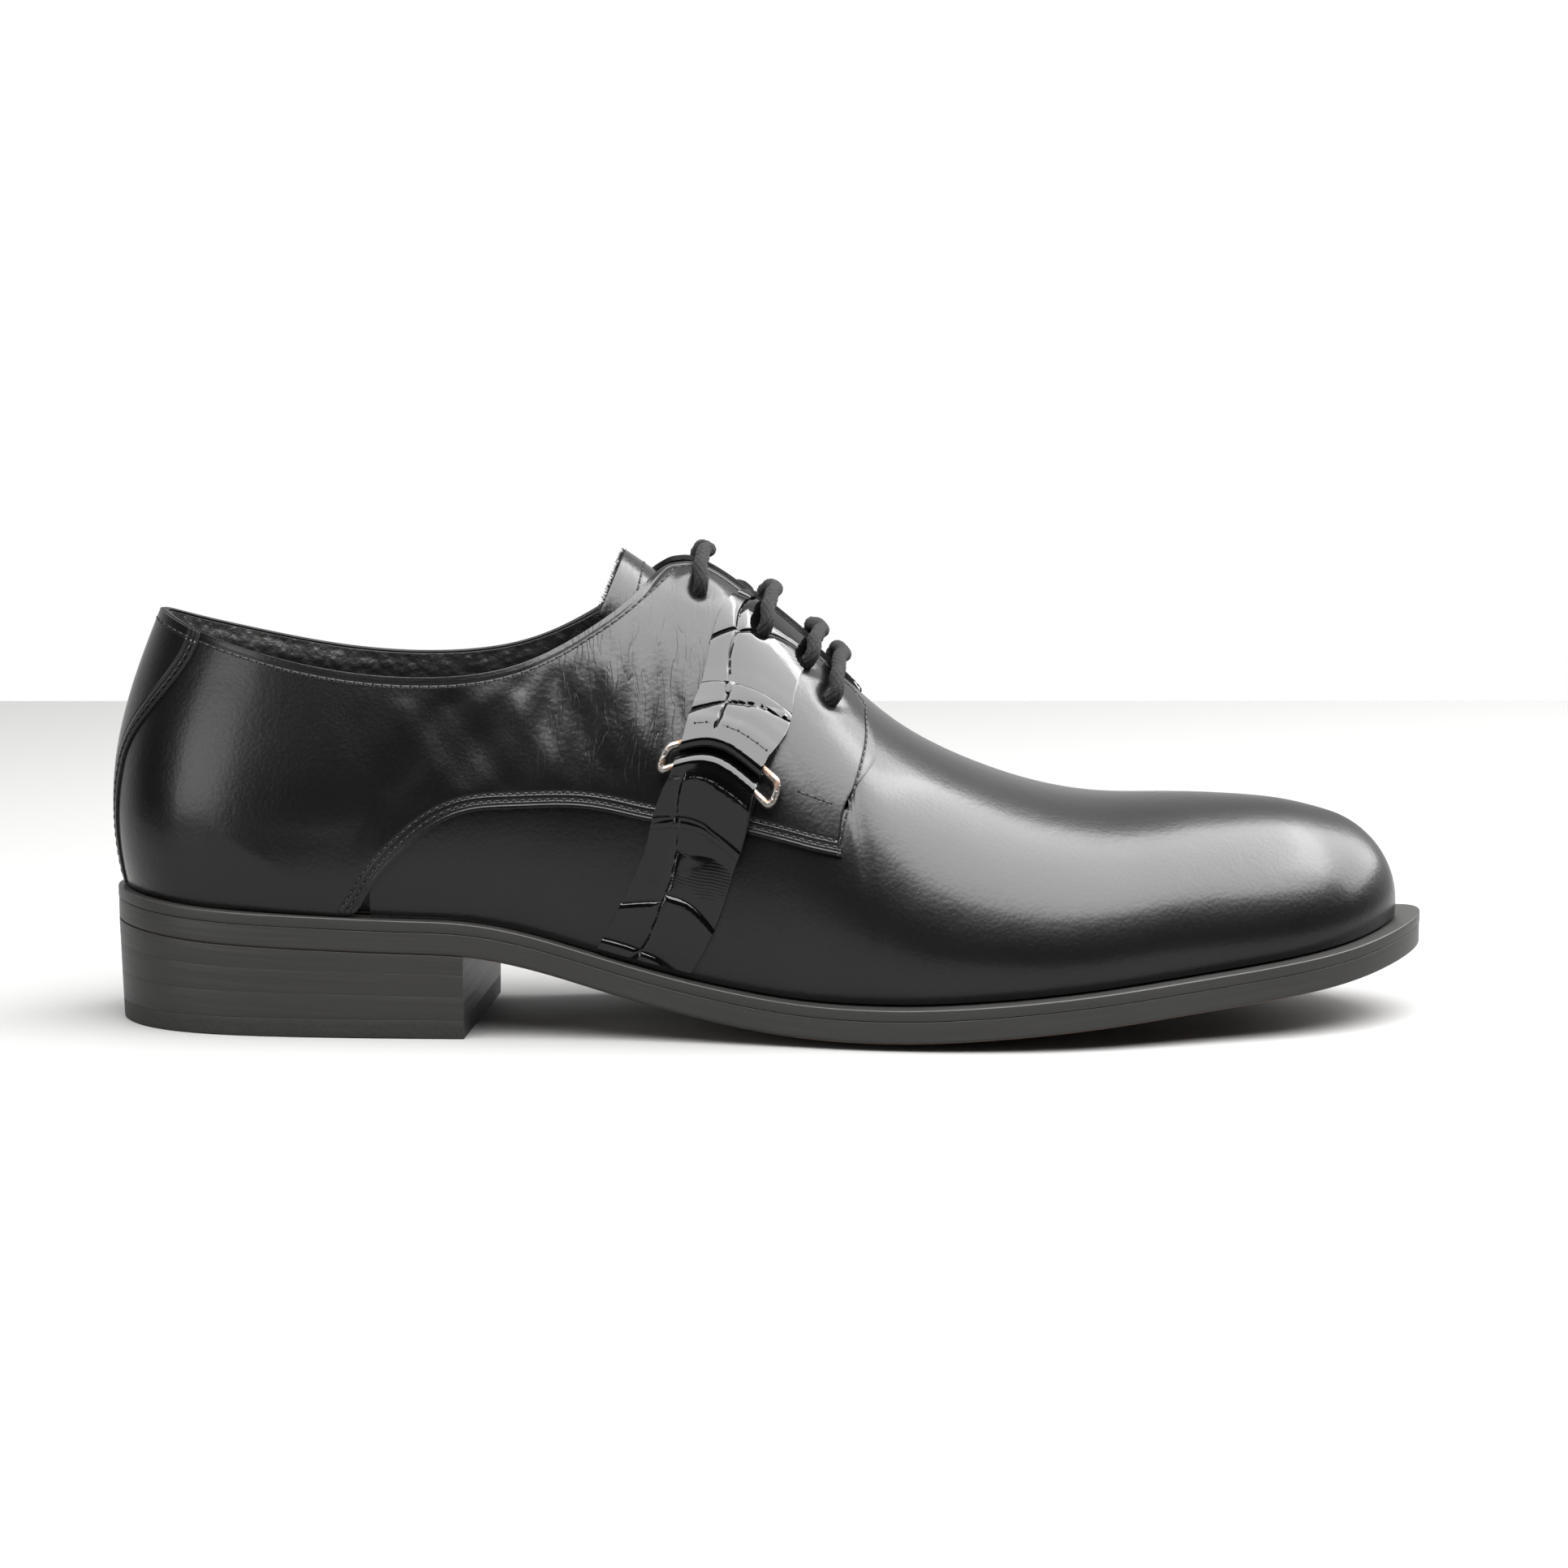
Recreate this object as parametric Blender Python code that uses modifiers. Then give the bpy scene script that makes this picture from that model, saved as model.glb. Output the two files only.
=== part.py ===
"""Derby dress shoe, right foot: sole unit, stacked heel, upper, side straps with rings, tongue and lace.

Metres, +Z up, +X to the toe, -Y the outer (lateral) side. Lengths below are in millimetres.
The upper is one smooth skin, skin(s, h, off): s runs round the feather line (0 heel, 16 toe tip,
32 heel again, lateral side first), h goes from the feather line (0) to the collar or the ridge (1),
and off is the distance outside the vamp's face. Every leather layer is a patch of that skin.
"""
import math

import bmesh
import bpy
import numpy as np
from mathutils import Matrix, Vector

MM = 0.001

# ---------------------------------------------------------------- driving dimensions (mm)
LEATHER = 1.2          # vamp and quarters
LINING = 0.8
STIFFENER = 0.6        # toe puff, heel counter, facing stays
LAYER_GAP = 0.4
OVERLAP_LIFT = 1.7     # how far the quarter rises where it lies on the vamp
STRAP = 1.0
WELT = 2.6
OUTSOLE = 4.9
INSOLE = 2.0
SOCK = 0.8
TOP_PIECE = 4.4
HEEL_TAPER = 0.9       # how much smaller the heel is at the floor, all round
BREAST_LATERAL = -69.0
BREAST_MEDIAL = -64.0
LACE_RADIUS = 1.65
HOLE_RADIUS = 2.4
WIRE_RADIUS = 0.95     # strap ring
RING_LENGTH = 29.0
RING_HALF = 2.7       # from the ring's middle to each long bar
RING_CORNER = 1.2
GAP = 0.3
TOE = 16               # station number of the toe tip

# station: foot x, lateral y, medial y, top x, top y, top z,
#          low handle out, low handle up, high handle out, high handle down, sole edge lateral, medial
STATIONS = [
    (-149.8, 0.0, 0.0, -140.3, 0.0, 96.0, 6.6, 24.0, 10.0, 24.0, 2.0, 2.0),     # heel back
    (-143.2, -17.0, 17.0, -134.5, 11.0, 93.4, 6.2, 23.0, 8.5, 22.0, 2.2, 2.2),
    (-127.0, -27.0, 27.0, -121.5, 20.5, 89.2, 5.0, 22.0, 5.5, 20.0, 2.5, 2.2),
    (-103.0, -31.0, 29.5, -101.0, 26.5, 84.6, 5.5, 20.0, 5.0, 19.0, 2.8, 2.0),  # ankle
    (-78.0, -32.5, 27.5, -79.0, 29.0, 82.8, 4.5, 20.0, 4.5, 18.0, 3.0, 1.8),
    (-54.0, -33.2, 26.0, -59.0, 29.0, 85.0, 4.6, 22.0, 5.5, 18.0, 3.2, 1.8),
    (-33.0, -34.6, 27.2, -43.0, 25.5, 92.0, 4.7, 27.0, 9.0, 16.0, 3.4, 2.0),
    (-14.0, -37.4, 31.0, -29.5, 18.5, 101.5, 4.8, 33.0, 15.0, 12.0, 3.8, 2.6),
    (2.0, -40.5, 35.5, -17.5, 0.0, 108.0, 5.0, 37.0, 28.0, 0.0, 4.2, 3.4),     # top of the facings
    (17.0, -44.0, 40.5, 2.0, 0.0, 95.4, 5.2, 32.0, 31.0, 0.0, 4.5, 4.0),
    (34.0, -47.0, 44.5, 25.9, 0.0, 72.6, 5.2, 25.0, 32.0, 0.0, 4.6, 4.4),      # throat
    (53.0, -47.8, 47.0, 50.0, 0.0, 59.0, 5.0, 20.0, 33.0, 0.0, 4.6, 4.6),
    (75.0, -45.3, 46.2, 73.0, 0.0, 52.7, 4.0, 18.0, 31.0, 0.0, 4.6, 4.6),
    (98.0, -37.3, 40.3, 93.0, 0.0, 52.0, 3.5, 17.0, 26.0, 0.0, 4.7, 4.7),
    (120.0, -29.0, 33.4, 110.0, 0.0, 51.5, 3.3, 16.0, 19.0, 0.0, 5.0, 5.0),
    (138.5, -16.5, 22.3, 123.5, 0.0, 50.0, 3.5, 15.0, 13.0, 0.0, 5.4, 5.4),
    (148.2, 3.5, 3.5, 132.0, 0.0, 47.8, 3.6, 13.0, 8.5, 0.0, 5.8, 5.8),        # toe tip
]
# height of the welt's top along the shoe, and of the ridge line over the instep and toes (x, z)
SEAT = [(-152, 31.2), (-131, 29.3), (-108, 28.3), (-82, 27.5), (-69, 26.9), (-52, 23.6), (-37, 19.2),
        (-22, 15.2), (-8, 12.3), (7, 10.2), (22, 9.5), (36, 9.7), (58, 11.1), (84, 13.5), (103, 15.4),
        (122, 17.6), (138, 20.2), (154, 24.4)]
RIDGE = [(-17.5, 108.0), (-10, 103.6), (-2.5, 98.6), (5, 93.2), (11, 87.8), (18.5, 80), (25.9, 72.6),
         (37.4, 65.4), (52.6, 57.9), (67.8, 53.6), (80, 52.3), (92, 52.1), (106, 51.7), (121, 50.4), (133, 47.5)]
# lower edge of the quarter (s, h), and its front edge as (h, s)
QUARTER_LOW = [(3.2, 0.0), (3.38, 0.02), (3.51, 0.11), (3.78, 0.25), (4.1, 0.365), (4.47, 0.434), (4.9, 0.452),
               (5.42, 0.449), (6.04, 0.418), (6.55, 0.378), (7.3, 0.328), (8.0, 0.295), (8.6, 0.297), (9.38, 0.325)]
QUARTER_FRONT = [(0.3, 9.36), (0.42, 9.59), (0.5, 9.73), (0.6, 9.86), (0.72, 9.95), (0.82, 9.96), (0.89, 9.9),
                 (0.92, 9.78)]
# lace holes from the toe end to the top: s, h and the height the lace needs over them
HOLES = [(9.57, 0.734, 3.7), (9.35, 0.799, 4.1), (8.92, 0.775, 3.5), (8.2, 0.783, 2.1)]
# side straps: the ring's middle line, then each strap's edges from the ring outwards (s, h)
RING_LINE = [(7.14, 0.478), (8.55, 0.385)]
UPPER_EDGES = [[(7.14, 0.478), (7.95, 0.59), (8.70, 0.905)], [(8.55, 0.385), (9.16, 0.60), (9.47, 0.905)]]
LOWER_EDGES = [[(7.14, 0.478), (6.38, 0.30), (5.66, 0.015)], [(8.55, 0.385), (7.72, 0.21), (6.93, 0.015)]]

# ---------------------------------------------------------------- scene
for old in list(bpy.data.objects):
    bpy.data.objects.remove(old)
parts = bpy.data.collections.new("derby_shoe")
cutters = bpy.data.collections.new("cutters")
for c in (parts, cutters):
    bpy.context.scene.collection.children.link(c)


def material(name, colour, rough, metal=0.0):
    m = bpy.data.materials.new(name)
    m.use_nodes = True
    b = m.node_tree.nodes["Principled BSDF"]
    b.inputs["Base Color"].default_value = (*colour, 1)
    b.inputs["Roughness"].default_value = rough
    b.inputs["Metallic"].default_value = metal
    return m


BLACK = (0.012, 0.012, 0.013)
LOOKS = {
    "calf": (BLACK, 0.32, 0.0), "patent": ((0.006, 0.006, 0.007), 0.06, 0.0), "lining": ((0.02, 0.02, 0.02), 0.5, 0.0),
    "edge": ((0.03, 0.03, 0.031), 0.4, 0.0), "tan": ((0.35, 0.2, 0.11), 0.6, 0.0),
    "fibre": ((0.3, 0.22, 0.15), 0.8, 0.0), "cork": ((0.3, 0.19, 0.11), 0.9, 0.0),
    "rubber": ((0.02, 0.02, 0.02), 0.6, 0.0), "steel": ((0.45, 0.45, 0.46), 0.35, 1.0),
    "ring": ((0.5, 0.44, 0.4), 0.25, 1.0), "lace": ((0.015, 0.015, 0.015), 0.8, 0.0),
    "plastic": ((0.02, 0.02, 0.02), 0.2, 0.0),
}


def add(name, mesh, look, collection=parts):
    obj = bpy.data.objects.new(name, mesh)
    collection.objects.link(obj)
    if look:
        mesh.materials.clear()
        mesh.materials.append(material(name, *LOOKS[look]))
    else:
        obj.hide_render = True
        obj.display_type = "WIRE"
    mesh.shade_smooth()
    mesh.set_sharp_from_angle(angle=math.radians(40))
    return obj


# ---------------------------------------------------------------- curves and the skin
class Spline:
    """Natural cubic spline through rows of (t, values...)."""

    def __init__(self, knots):
        k = np.array(knots, float)
        self.t, self.y = k[:, 0], k[:, 1:]
        n, h = len(self.t), np.diff(self.t)
        a, r = np.zeros((n, n)), np.zeros((n, self.y.shape[1]))
        a[0, 0] = a[-1, -1] = 1
        for i in range(1, n - 1):
            a[i, i - 1], a[i, i], a[i, i + 1] = h[i - 1], 2 * (h[i - 1] + h[i]), h[i]
            r[i] = 3 * ((self.y[i + 1] - self.y[i]) / h[i] - (self.y[i] - self.y[i - 1]) / h[i - 1])
        self.c, self.h = np.linalg.solve(a, r), h

    def __call__(self, x, slope=False):
        x = np.atleast_1d(np.asarray(x, float))
        i = np.clip(np.searchsorted(self.t, x, side="right") - 1, 0, len(self.t) - 2)
        d, h, c = (x - self.t[i])[:, None], self.h[i][:, None], self.c
        b = (self.y[i + 1] - self.y[i]) / h - h * (2 * c[i] + c[i + 1]) / 3
        e = (c[i + 1] - c[i]) / (3 * h)
        return b + 2 * c[i] * d + 3 * e * d**2 if slope else self.y[i] + b * d + c[i] * d**2 + e * d**3


def smooth(x):
    x = np.clip(x, 0.0, 1.0)
    return x * x * (3 - 2 * x)


def ridge_y(x):
    return 3.5 * smooth((np.asarray(x, float) - 30) / 100)


def station_rows():
    """The stations round the whole ring, with three repeated at each end so that it closes smoothly."""
    rows = []
    for k in range(-3, 2 * TOE + 4):
        i = abs((k + 2 * TOE) % (2 * TOE))
        medial = i > TOE
        st = STATIONS[2 * TOE - i if medial else i]
        fx, ly, my, tx, ty, tz, lo, lu, ho, hd, el, em = st
        side = 1 if medial else -1
        rows.append((k, fx, my if medial else ly, tx, float(ridge_y(tx)) + side * ty, tz, lo, lu, ho, hd,
                     em if medial else el))
    return rows


seat_curve, ridge_curve, ring_curve = Spline(SEAT), Spline(RIDGE), Spline(station_rows())


def seat(x):
    return seat_curve(x)[:, 0]


def feather(s, out=0.0):
    """Plan point on the feather line, moved outwards by out."""
    s = np.asarray(s, float) % (2 * TOE)
    v, d = ring_curve(s), ring_curve(s, slope=True)
    n = np.stack([d[:, 1], -d[:, 0]], 1)
    n /= np.linalg.norm(n, axis=1)[:, None]
    return v[:, :2] + n * np.broadcast_to(out, len(v))[:, None], n


def rib(s, h):
    s = s % (2 * TOE)
    v = ring_curve(s)
    f2, n = feather(s)
    foot = np.column_stack([f2, seat(f2[:, 0]) + 0.6])
    top = v[:, 2:5]
    p1, p2 = foot.copy(), top.copy()
    p1[:, :2] += n * v[:, 5:6]
    p1[:, 2] += v[:, 6]
    p1[:, 0] += 0.12 * (top[:, 0] - foot[:, 0])
    p2[:, :2] += n * v[:, 7:8]
    slope = ridge_curve(np.clip(top[:, 0], -17, 133), slope=True)[:, 0]
    weight = np.clip(s - 7, 0, 1) * np.clip(2 * TOE - 7 - s, 0, 1)
    p2[:, 2] += weight * slope * (p2[:, 0] - top[:, 0]) - v[:, 8]
    h = h[:, None]
    return (1 - h) ** 3 * foot + 3 * (1 - h) ** 2 * h * p1 + 3 * (1 - h) * h**2 * p2 + h**3 * top


def skin(s, h, off=0.0):
    """Points of the upper, shape (n, 3), in mm."""
    s, h, off = np.broadcast_arrays(np.asarray(s, float), np.asarray(h, float), np.asarray(off, float))
    shape = s.shape
    s, h, off = s.ravel(), h.ravel(), off.ravel()
    p = rib(s, h)
    e, hs = 1e-3, np.clip(h, 0.002, 0.985)
    n = np.cross(rib(s + e, hs) - rib(s - e, hs), rib(s, hs + e) - rib(s, hs - e))
    n /= np.linalg.norm(n, axis=1)[:, None]
    top = (h > 0.999) & (s > 7.9) & (s < 2 * TOE - 7.9)
    slope = ridge_curve(np.clip(p[:, 0], -17, 133), slope=True)[:, 0]
    flat = np.column_stack([-slope, 0 * slope, 1 + 0 * slope])
    n[top] = (flat / np.linalg.norm(flat, axis=1)[:, None])[top]
    return (p + n * off[:, None]).reshape(*shape, 3)


def fold(s):
    """The same place counted on the lateral side, for features that both sides share."""
    s = np.asarray(s, float) % (2 * TOE)
    return np.where(s > TOE, 2 * TOE - s, s)


quarter_low_curve, quarter_front_curve = Spline(QUARTER_LOW), Spline(QUARTER_FRONT)


def quarter_low(s):
    s = fold(s)
    return np.where(s < 3.3, 0.0, np.maximum(quarter_low_curve(np.clip(s, 3.2, 9.4))[:, 0].reshape(s.shape), 0.0))


def quarter_top(s):
    return 1 - 0.085 * smooth((fold(s) - 7.35) / 0.65)


def vamp_top(s):
    """The vamp's upper edge, hidden under the quarters, then the throat and the closed ridge."""
    s = fold(s)
    low = quarter_low(s.ravel()).reshape(s.shape) + 0.115
    return np.where(s < 9.2, low, np.clip(low + (1.02 - low) * smooth((s - 9.56) / 0.22), 0, 1))


def over_vamp(s, h):
    """How high the quarter lies: OVERLAP_LIFT on the vamp, 0 behind it, with a soft step between."""
    s, h = np.broadcast_arrays(fold(s), np.asarray(h, float))
    low = quarter_low(s.ravel()).reshape(s.shape) + 0.115
    throat = 9.56 + 0.2 * np.clip((h - 0.5) / 0.35, 0, 1)
    apart = np.maximum(np.minimum((h - low) * 88, (throat - s) * 22), (3.35 - s) * 20)
    return OVERLAP_LIFT * (1 - smooth((apart - 2.0) / 8))


def strap_base(s, h):
    """What a strap lies on: the quarter, and below the quarter's edge the vamp."""
    s, h = np.broadcast_arrays(fold(s), np.asarray(h, float))
    low = quarter_low(s.ravel()).reshape(s.shape)
    return over_vamp(s, np.maximum(h, low)) * smooth((h - low + 0.095) / 0.075)


def lining_face(s, h):
    """Outer face of the lining, lowered under the stiffeners."""
    s, h = np.broadcast_arrays(fold(s), np.asarray(h, float))
    heel = 1 - smooth((s - 2.8) / 0.7)
    toe = smooth((s - 12.2) / 0.7)
    facing = smooth((s - 7.4) / 0.5) * (1 - smooth((s - 9.95) / 0.3)) * smooth((h - 0.56) / 0.1)
    facing = np.maximum(facing, smooth((s - 8.9) / 0.4) * (1 - smooth((s - 9.95) / 0.3)))
    return -(LEATHER + LAYER_GAP + 0.2) - 0.9 * np.maximum(np.maximum(heel, toe), facing)


# ---------------------------------------------------------------- builders
def grid_mesh(name, points, close_u=False, weld=0.02):
    """A mesh from an (nu, nv, 3) array of points in mm: a bmesh grid whose vertices are moved."""
    nu, nv = points.shape[:2]
    bm = bmesh.new()
    bmesh.ops.create_grid(bm, x_segments=nu - 1, y_segments=nv - 1, size=1)
    bm.verts.ensure_lookup_table()
    order = sorted(bm.verts, key=lambda v: (round(v.co.x, 5), round(v.co.y, 5)))
    for vert, p in zip(order, points.reshape(-1, 3)):
        vert.co = Vector(p) * MM
    bmesh.ops.remove_doubles(bm, verts=bm.verts, dist=weld * MM)
    return bm


def finish(name, bm, look, collection=parts):
    bmesh.ops.recalc_face_normals(bm, faces=bm.faces)
    mesh = bpy.data.meshes.new(name)
    bm.to_mesh(mesh)
    bm.free()
    return add(name, mesh, look, collection)


def shell(name, points, thick, look):
    """An open surface given by its middle layer, made solid by Solidify."""
    obj = finish(name, grid_mesh(name, points), look)
    mod = obj.modifiers.new("thickness", "SOLIDIFY")
    mod.thickness, mod.offset, mod.use_even_offset, mod.use_quality_normals = thick * MM, 0, True, True
    return obj


def patch(name, s, h, off, thick, look):
    """A leather layer: s, h and outer off are (nu, nv) arrays."""
    return shell(name, skin(s, h, off - thick / 2), thick, look)


def slab(name, low, high, look, collection=parts):
    """A solid between two point grids of one plan: the grid is extruded and its copy is moved up."""
    bm = grid_mesh(name, low, weld=0.0)
    n = low.shape[0] * low.shape[1]
    bm.verts.ensure_lookup_table()
    order = sorted(bm.verts, key=lambda v: v.index)[:n]
    tops = np.array([v.co for v in order])
    lookup = {tuple(np.round(p * MM, 7)): q * MM for p, q in zip(low.reshape(-1, 3), high.reshape(-1, 3))}
    made = bmesh.ops.extrude_face_region(bm, geom=bm.faces[:])
    for vert in [g for g in made["geom"] if isinstance(g, bmesh.types.BMVert)]:
        key = min(lookup, key=lambda k: (Vector(k) - vert.co).length_squared)
        vert.co = Vector(lookup[key])
    bmesh.ops.remove_doubles(bm, verts=bm.verts, dist=0.02 * MM)
    return finish(name, bm, look, collection)


def cut(obj, cutter):
    mod = obj.modifiers.new("cut", "BOOLEAN")
    mod.operation, mod.object = "DIFFERENCE", cutter


# plan columns for the sole unit, heel to toe
COLUMNS = np.array([0, 0.12, 0.3, 0.55, 0.85, 1.2, 1.7, 2.3, 3, 3.7, 4.15, 4.4, 4.7, 5.1, 5.6, 6.2, 7, 8, 9, 10, 11,
                    12, 13, 13.8, 14.5, 15, 15.4, 15.7, 15.88, 16.0])


def plan(cols_lateral, cols_medial, out, across=5):
    """Plan grid between the lateral and the medial outline: (columns, across, 2)."""
    a = feather(cols_lateral, out(cols_lateral))[0]
    b = feather(2 * TOE - cols_medial, out(2 * TOE - cols_medial))[0]
    v = np.linspace(0, 1, across)[None, :, None]
    return a[:, None] * (1 - v) + b[:, None] * v


def level(xy, z):
    flat = xy.reshape(-1, 2)
    return np.column_stack([flat, z(flat)]).reshape(*xy.shape[:2], 3)


def sole_edge(s):
    return ring_curve(np.asarray(s, float) % (2 * TOE))[:, 9]


def full_plate(name, out, z0, z1, look, across=4):
    xy = plan(COLUMNS, COLUMNS, out, across)
    return slab(name, level(xy, z0), level(xy, z1), look)


# ---------------------------------------------------------------- sole unit
def sole_bottom(xy):
    base = seat(xy[:, 0]) - WELT - OUTSOLE - GAP
    return base


def crowned_bottom(xy):
    """The outsole's underside, a little fuller along the middle of the forepart so that it meets the floor."""
    rise = smooth((xy[:, 0] + 25) / 40) * (1 - smooth((xy[:, 0] - 36) / 50))
    return sole_bottom(xy) - 1.7 * rise * np.clip(1 - (xy[:, 1] / 46) ** 2, 0, 1)


outsole = full_plate("outsole", sole_edge, crowned_bottom, lambda p: seat(p[:, 0]) - WELT - GAP, "edge", 7)

ring_s = np.concatenate([COLUMNS, 2 * TOE - COLUMNS[-2::-1]])
outer, inner = feather(ring_s, sole_edge(ring_s) + 0.1)[0], feather(ring_s, -9.0)[0]
welt_plan = np.stack([outer, inner], 1)
welt_low, welt_high = level(welt_plan, lambda p: seat(p[:, 0]) - WELT), level(welt_plan, lambda p: seat(p[:, 0]))
bm = bmesh.new()
bmesh.ops.create_grid(bm, x_segments=len(ring_s) - 1, y_segments=3, size=1)
order = sorted(bm.verts, key=lambda v: (round(v.co.x, 5), round(v.co.y, 5)))
loop = np.stack([welt_low[:, 0], welt_high[:, 0], welt_high[:, 1], welt_low[:, 1]], 1)
for vert, p in zip(order, loop.reshape(-1, 3)):
    vert.co = Vector(p) * MM
bm.verts.index_update()
for i in range(len(ring_s) - 1):     # close the strip's underside
    bm.faces.new((order[4 * i], order[4 * i + 3], order[4 * i + 7], order[4 * i + 4]))
bmesh.ops.remove_doubles(bm, verts=bm.verts, dist=0.02 * MM)
finish("welt", bm, "edge")

filler = full_plate("cork_filler", lambda s: -9.4 + 0 * s, lambda p: seat(p[:, 0]) - WELT + 0.1,
                    lambda p: seat(p[:, 0]) - 0.1, "cork", 5)
shank_x = np.linspace(-96, -6, 9)
shank_y = np.array([-8.0, 8.0])


def strip(xs, ys, z0, z1):
    xy = np.stack(np.meshgrid(xs, ys, indexing="ij"), 2)
    return level(xy, lambda p: seat(p[:, 0]) + z0), level(xy, lambda p: seat(p[:, 0]) + z1)


slab("shank", *strip(shank_x, shank_y, -2.3, -1.1), "steel")
slot = slab("shank_slot", *strip(np.linspace(-96.4, -5.6, 9), np.array([-8.4, 8.4]), -4.0, 2.0), None, cutters)
cut(filler, slot)
full_plate("insole", lambda s: -4.2 + 0 * s, lambda p: seat(p[:, 0]) + 0.3, lambda p: seat(p[:, 0]) + 0.3 + INSOLE,
           "fibre")
full_plate("sock_liner", lambda s: -4.6 + 0 * s, lambda p: seat(p[:, 0]) + 2.6, lambda p: seat(p[:, 0]) + 2.6 + SOCK,
           "lining")

# heel: three lifts between the top piece and the outsole, all cut by one straight breast
breast_s = []
for x in (BREAST_LATERAL, BREAST_MEDIAL):
    t = np.linspace(3.5, 6, 400)
    breast_s.append(float(t[np.argmin(abs(feather(t)[0][:, 0] - x))]))
heel_t = np.array([0, 0.025, 0.06, 0.11, 0.18, 0.28, 0.42, 0.6, 0.8, 0.91, 1.0])


def heel_plate(name, f0, f1, z0, z1, look):
    """f is the height fraction, which sets the taper; z gives the faces."""
    grids = []
    for f, z in ((f0, z0), (f1, z1)):
        xy = plan(heel_t * breast_s[0], heel_t * breast_s[1], lambda s: sole_edge(s) - HEEL_TAPER * (1 - f))
        grids.append(level(xy, z))
    return slab(name, *grids, look)


def lift_face(fraction, shift):
    def z(p):
        top = sole_bottom(p) - GAP
        return (TOP_PIECE + GAP) * (1 - fraction) + top * fraction + shift
    return z


top_piece = heel_plate("top_piece", 0, 0.2, lambda p: 0 * p[:, 0], lambda p: TOP_PIECE + 0 * p[:, 0], "rubber")
lifts = []
for i in range(3):
    f0, f1 = i / 3, (i + 1) / 3
    lifts.append(heel_plate(f"heel_lift_{i + 1}", 0.2 + 0.8 * f0, 0.2 + 0.8 * f1, lift_face(f0, GAP / 2 if i else 0),
                            lift_face(f1, -GAP / 2 if i < 2 else 0), "edge"))

nail_at = [(-138, 0), (-124, -16), (-124, 16), (-88, -20), (-88, 19)]
bores = bmesh.new()
for i, (x, y) in enumerate(nail_at):
    bm = bmesh.new()
    bmesh.ops.create_cone(bm, cap_ends=True, segments=10, radius1=0.8 * MM, radius2=0.8 * MM, depth=11.6 * MM,
                          matrix=Matrix.Translation(Vector((x, y, 0.5 + 5.8)) * MM))
    finish(f"heel_nail_{i + 1}", bm, "steel")
    bmesh.ops.create_cone(bores, cap_ends=True, segments=10, radius1=1.15 * MM, radius2=1.15 * MM, depth=14.5 * MM,
                          matrix=Matrix.Translation(Vector((x, y, -2.0 + 7.25)) * MM))
bore = finish("nail_bores", bores, None, cutters)
for obj in (top_piece, *lifts[:2]):
    cut(obj, bore)

# ---------------------------------------------------------------- upper
def rows(low, high, n):
    v = np.linspace(0, 1, n)[None, :]
    return low[:, None] * (1 - v) + high[:, None] * v


def mirror_columns(c):
    return np.concatenate([c, 2 * TOE - c[::-1][1:]]) if c[-1] == TOE else c


vamp_cols = mirror_columns(np.array([3.4, 3.7, 4.15, 4.7, 5.4, 6.2, 7, 8, 8.7, 9.3, 9.5, 9.6, 9.66, 9.72, 9.79, 10.2,
                                     11, 12, 13, 13.75, 14.5, 15, 15.5, 16.0]))
vs = vamp_cols[:, None] + np.zeros((1, 9))
vh = rows(0 * vamp_cols, vamp_top(vamp_cols), 9)
patch("vamp", vs, vh, 0 * vs, LEATHER, "calf")


UPPER_COLUMNS = np.array([0, 0.4, 0.85, 1.4, 2, 2.6, 3.1, 3.45, 3.7, 3.95, 4.3, 4.8, 5.4, 6, 6.4, 6.8, 7.1, 7.4, 7.7, 8,
                          8.4, 8.7])


def side_s(s, side):
    return s if side < 0 else 2 * TOE - s


def both_sides(make):
    for side, label in ((-1, "lateral"), (1, "medial")):
        make(side, label)


quarters, stays, upper_straps = [], [], []


def quarter(side, label):
    u = np.concatenate([[0.03], UPPER_COLUMNS[1:], [9.05, 9.4, 9.7]])[:, None]
    v = np.linspace(0, 1, 10)[None, :]
    front = 9.36 + 0.6 * smooth(v / 0.62) - 0.18 * smooth((v - 0.72) / 0.28)   # the front edge's bow
    s = np.where(u <= 8.7, u, 8.7 + (u - 8.7) * (front - 8.7))
    lo = quarter_low(s.ravel()).reshape(s.shape)
    hi = quarter_top(s)
    h = lo * (1 - v) + hi * v
    quarters.append(patch(f"quarter_{label}", side_s(s, side), h, over_vamp(s, h), LEATHER, "calf"))


def stay(side, label):
    c = np.array([8.1, 8.4, 8.7, 9.05, 9.4, 9.66])
    s = c[:, None] + np.zeros((1, 5))
    h = rows(0.70 + 0 * c, 0.9 + 0 * c, 5)
    stays.append(patch(f"facing_stay_{label}", side_s(s, side), h, 0 * s - LEATHER - LAYER_GAP, STIFFENER, "fibre"))


both_sides(quarter)
both_sides(stay)

v = np.linspace(0, 1, 11)
half = 0.25 + 0.3 * smooth(v / 0.7) + 0.85 * smooth((v - 0.45) / 0.55)
s = np.linspace(-1, 1, 9)[:, None] * half[None, :]
patch("backstay", s, 0.004 + 0.99 * v[None, :] + 0 * s, 0 * s + 0.3 + 0.9, 0.9, "calf")

cols = np.concatenate([UPPER_COLUMNS, [9.05, 9.4, 9.6, 9.74]])
cols = np.concatenate([-cols[::-1], cols[1:]])
share = np.array([0, 0.2, 0.4, 0.57, 0.7, 0.81, 0.91, 1.0])   # rows closer together towards the top
s = cols[:, None] + np.zeros((1, len(share)))
h = (quarter_top(cols)[:, None] - 0.003) * share
quarter_lining = patch("quarter_lining", s, h, lining_face(s, h), LINING, "lining")

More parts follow.
